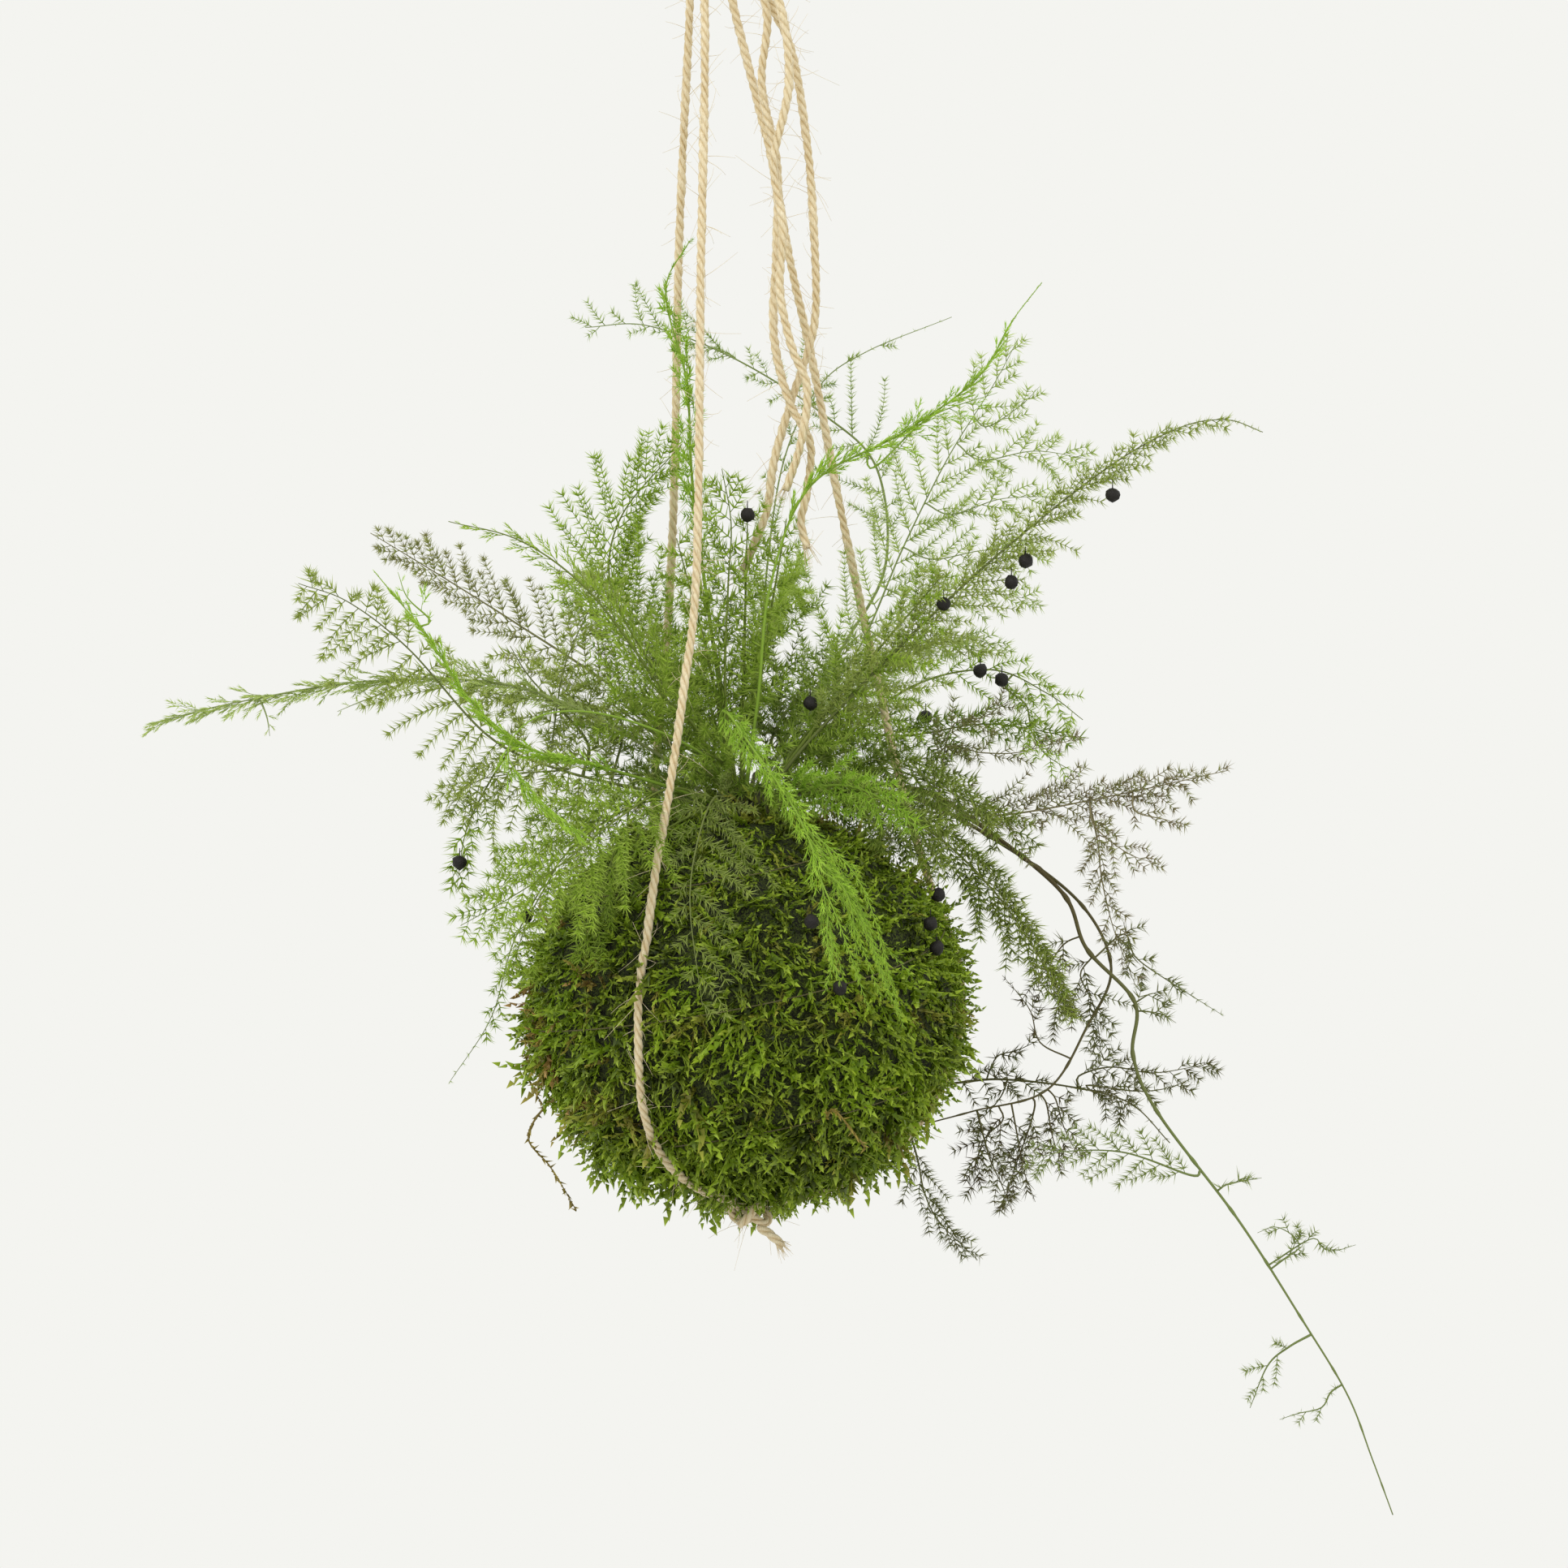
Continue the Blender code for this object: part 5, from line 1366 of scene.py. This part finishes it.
# One stem with its branches, then the shoots and strands that spring from it
def growStem(spec, route, gathered, random):
    along = alongRoute(route) / mm
    headings = unit(np.gradient(route, axis=0))
    reach = along / along[-1]
    joints = 1 + 0.5 * np.exp(-(((along % fern["jointGap"]) - 10) / 1.3) ** 2) * (spec["stem"] > 0.8)
    radii = spec["stem"] * mm * np.interp(reach, [0, 0.5, 1], [1, 0.65, 0.22]) * joints
    gathered["stems"].append((route, radii))
    growBranches(spec, route, along, headings, gathered, random)
    shootHabit = {**spec, **sideShoot}
    for branch, marks, *own in spec["shoots"]:
        shoot = {**shootHabit, "branch": branch, **(own[0] if own else {})}
        growStem(shoot, stemRoute(marks, route), gathered, random)
    strands = spec["strands"]
    if strands:
        first, last = strands["from"], np.array(strands["to"]) * mm
        for share in np.linspace(0, 1, strands["count"]):
            start = pointAt(route, reach, headings, first[0] + (first[1] - first[0]) * share)[0]
            end = crownCentre + last[0] + (last[1] - last[0]) * share + random.normal(0, 2.5 * mm, 3)
            end += (start - end) * random.uniform(0, 0.25)
            middle = (start + end) / 2 + (upward * random.uniform(2, 8) + random.normal(0, 2, 3)) * mm
            growStem({**shootHabit, **strandHabit, **strands},
                     smoothRoute([start, middle, end], fern["step"] * mm), gathered, random)


# How far places are from the crown, in millimetres
def fromCrown(places):
    return np.linalg.norm(places - crownCentre, axis=1) / mm


# Turns what was gathered into one piece of a single kind of foliage; returns its number of sprigs
def finishFoliage(name, spec, gathered, random, nodes=()):
    growth = Growth()
    for part, sides, stem in (("stems", 6, 1.0), ("twigs", 4, 0.6)):
        if gathered[part]:
            points, faces = tubes(gathered[part], sides)
            values = np.tile([spec["tone"], tubeTip, stem, 0.0], (len(points), 1))
            values[:, 3] = np.interp(fromCrown(points), spec["dryOver"], spec["dry"])
            growth.add(points, faces, values, True)
    for form, rows in gathered["rows"].items():
        if not rows:
            continue
        places, outs, acrosses, sizes = [np.array(part) for part in zip(*rows)]
        sizes *= mm
        frames = framesAt(places, outs, acrosses, sizes, sizes, sizes)
        # painted shade near the crown, painted light farther out
        away = fromCrown(places)
        light = spec["tone"] - fern["shade"] + fern["light"] * np.clip(away / fern["lightAt"], 0, 1)
        tone = np.clip(light + random.normal(0, fern["toneStray"], len(places)), 0, 1)
        dry = np.interp(away, spec["dryOver"], spec["dry"]) * random.uniform(*fern["dryStray"], len(places))
        pick = random.integers(0, fern["sprigPatterns"], len(places))
        for index, pattern in enumerate(sprigs[form]):
            here = pick == index
            growth.addCopies(pattern, frames[here], tone[here], np.clip(dry[here], 0, 1))
    finishPiece(name, growth, needleLeaves[spec["kind"]], nodes)
    return sum(len(rows) for rows in gathered["rows"].values())


def emptyGathering():
    return {"stems": [], "twigs": [], "rows": {form: [] for form in sprigForms}}


def makeFronds():
    routes = {}
    for index, (name, own) in enumerate(fronds.items()):
        random = np.random.default_rng([9, index])
        spec = {**habit, **own}
        routes[name] = stemRoute(spec["route"], routes.get(spec.get("host")))
        gathered = emptyGathering()
        growStem(spec, routes[name], gathered, random)
        before = triangleCount
        count = finishFoliage(name + "_grown", spec, gathered, random, [name])
        print(" ", name, count, "sprigs", triangleCount - before, "triangles")


# The heart: many short shoots from the crown, leaning every way
def makeHeart():
    random = np.random.default_rng(77)
    for name, own in heart["shoots"].items():
        spec = {**habit, **heart["habit"], **own}
        gathered = emptyGathering()
        for index in range(own["stems"]):
            lean = math.radians(random.uniform(*own["lean"]))
            turn = math.tau * (index + random.uniform(0, 0.6)) / own["stems"] * heart["turns"]
            out = np.array([math.sin(lean) * math.cos(turn), math.sin(lean) * math.sin(turn),
                            math.cos(lean)])
            long = min(random.uniform(*own["long"]), heart["depth"] / max(0.01, -out[1]))
            marks = [out * long * 0.5 + upward * 4, out * long + upward * random.uniform(-10, 4)]
            growStem({**spec, "roll": random.uniform(-50, 50)}, stemRoute(marks), gathered, random)
        finishFoliage("heart_" + name, spec, gathered, random)
    print("fern grown:", triangleCount, "triangles so far")


makeFronds()
makeHeart()

# Ripe berries, black and shrivelled, each on a short stalk
berries = {
    "radius": 2.5,
    "wrinkle": 0.42,
    "wrinkleSpread": 2.6,
    "stalk": 2.6,
    "stalkRadii": (0.22, 0.14),
    "stalkHeight": 3.4,
    "colours": ("090808", "26211E"),
    # berries too small or hidden to have a node of their own, from the crown
    "small": [(23, -20, 41), (65, -22, -22), (62, -36, -31), (64, -36, -39), (32, -77, -50)],
}


def makeBerries():
    # Dried berry skin: nearly black with a dull sheen, wrinkled in folds of half a millimetre
    skin = grainedMaterial("driedBerry", "TexNoise", {"Scale": 1500.0, "Detail": 3.0, "Distortion": 1.0},
                           "Fac", berries["colours"], (0.8, 0.4),
                           **{"Roughness": 0.5, "Specular IOR Level": 0.3})
    places = {}
    for node in frame["nodes"]:
        if node.startswith("berry"):
            low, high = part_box(node)
            places[node] = np.array((low + high) / 2)
    for index, marks in enumerate(berries["small"]):
        places[f"berry_small_{index + 1}"] = crownCentre + np.array(marks) * mm
    foot, top = berries["stalkRadii"]
    for index, (node, centre) in enumerate(places.items()):
        bm = bmesh.new()
        bmesh.ops.create_icosphere(bm, subdivisions=2, radius=1)
        for vert in bm.verts:
            # each berry takes its wrinkles from another stretch of the noise
            fold = noise.noise(vert.co * berries["wrinkleSpread"] + Vector((index * 7.3, 0, 0)))
            vert.co *= (berries["radius"] + berries["wrinkle"] * (2 * abs(fold) - 0.6)) * mm
            vert.co += Vector(centre)
        stalkPlace = Vector(centre) + Vector((0, 0, berries["stalkHeight"] * mm))
        bmesh.ops.create_cone(bm, cap_ends=True, segments=5, radius1=foot * mm, radius2=top * mm,
                              depth=berries["stalk"] * mm, matrix=Matrix.Translation(stalkPlace))
        mesh = bpy.data.meshes.new(node + "_ripe")
        bm.to_mesh(mesh)
        bm.free()
        mesh.shade_smooth()
        mesh.materials.append(skin)
        placePiece(node + "_ripe", mesh, [node] if node in frame["nodes"] else [])


makeBerries()
print("berries ripe")


# Soil, crown and roots: hidden by the moss and the fern, but they show through any gap
hidden = {
    "soilColours": ("17100A", "4A3826"),
    "rootColours": ("26260F", "4A4A22"),
}


def dressHidden():
    # Potting soil: dark, matt and crumbly, in grains of 1 to 3 mm
    soil = grainedMaterial("pottingSoil", "TexVoronoi", {"Scale": 450.0}, "Distance",
                           hidden["soilColours"], (1.0, 1.0), Roughness=0.95)
    # Corky root skin: dark olive brown, ringed every few millimetres and stained by soil
    root = grainedMaterial("rootSkin", "TexWave",
                           {"bands_direction": "Z", "Scale": 90.0, "Distortion": 6.0}, "Fac",
                           hidden["rootColours"], (0.6, 0.4), Roughness=0.8)
    for node, material in (("soil_ball", soil), ("root_crown", root)):
        materials = frame["nodes"][node].data.materials
        materials.clear()
        materials.append(material)
    print("soil and roots dressed")


dressHidden()

print("triangles added:", triangleCount)
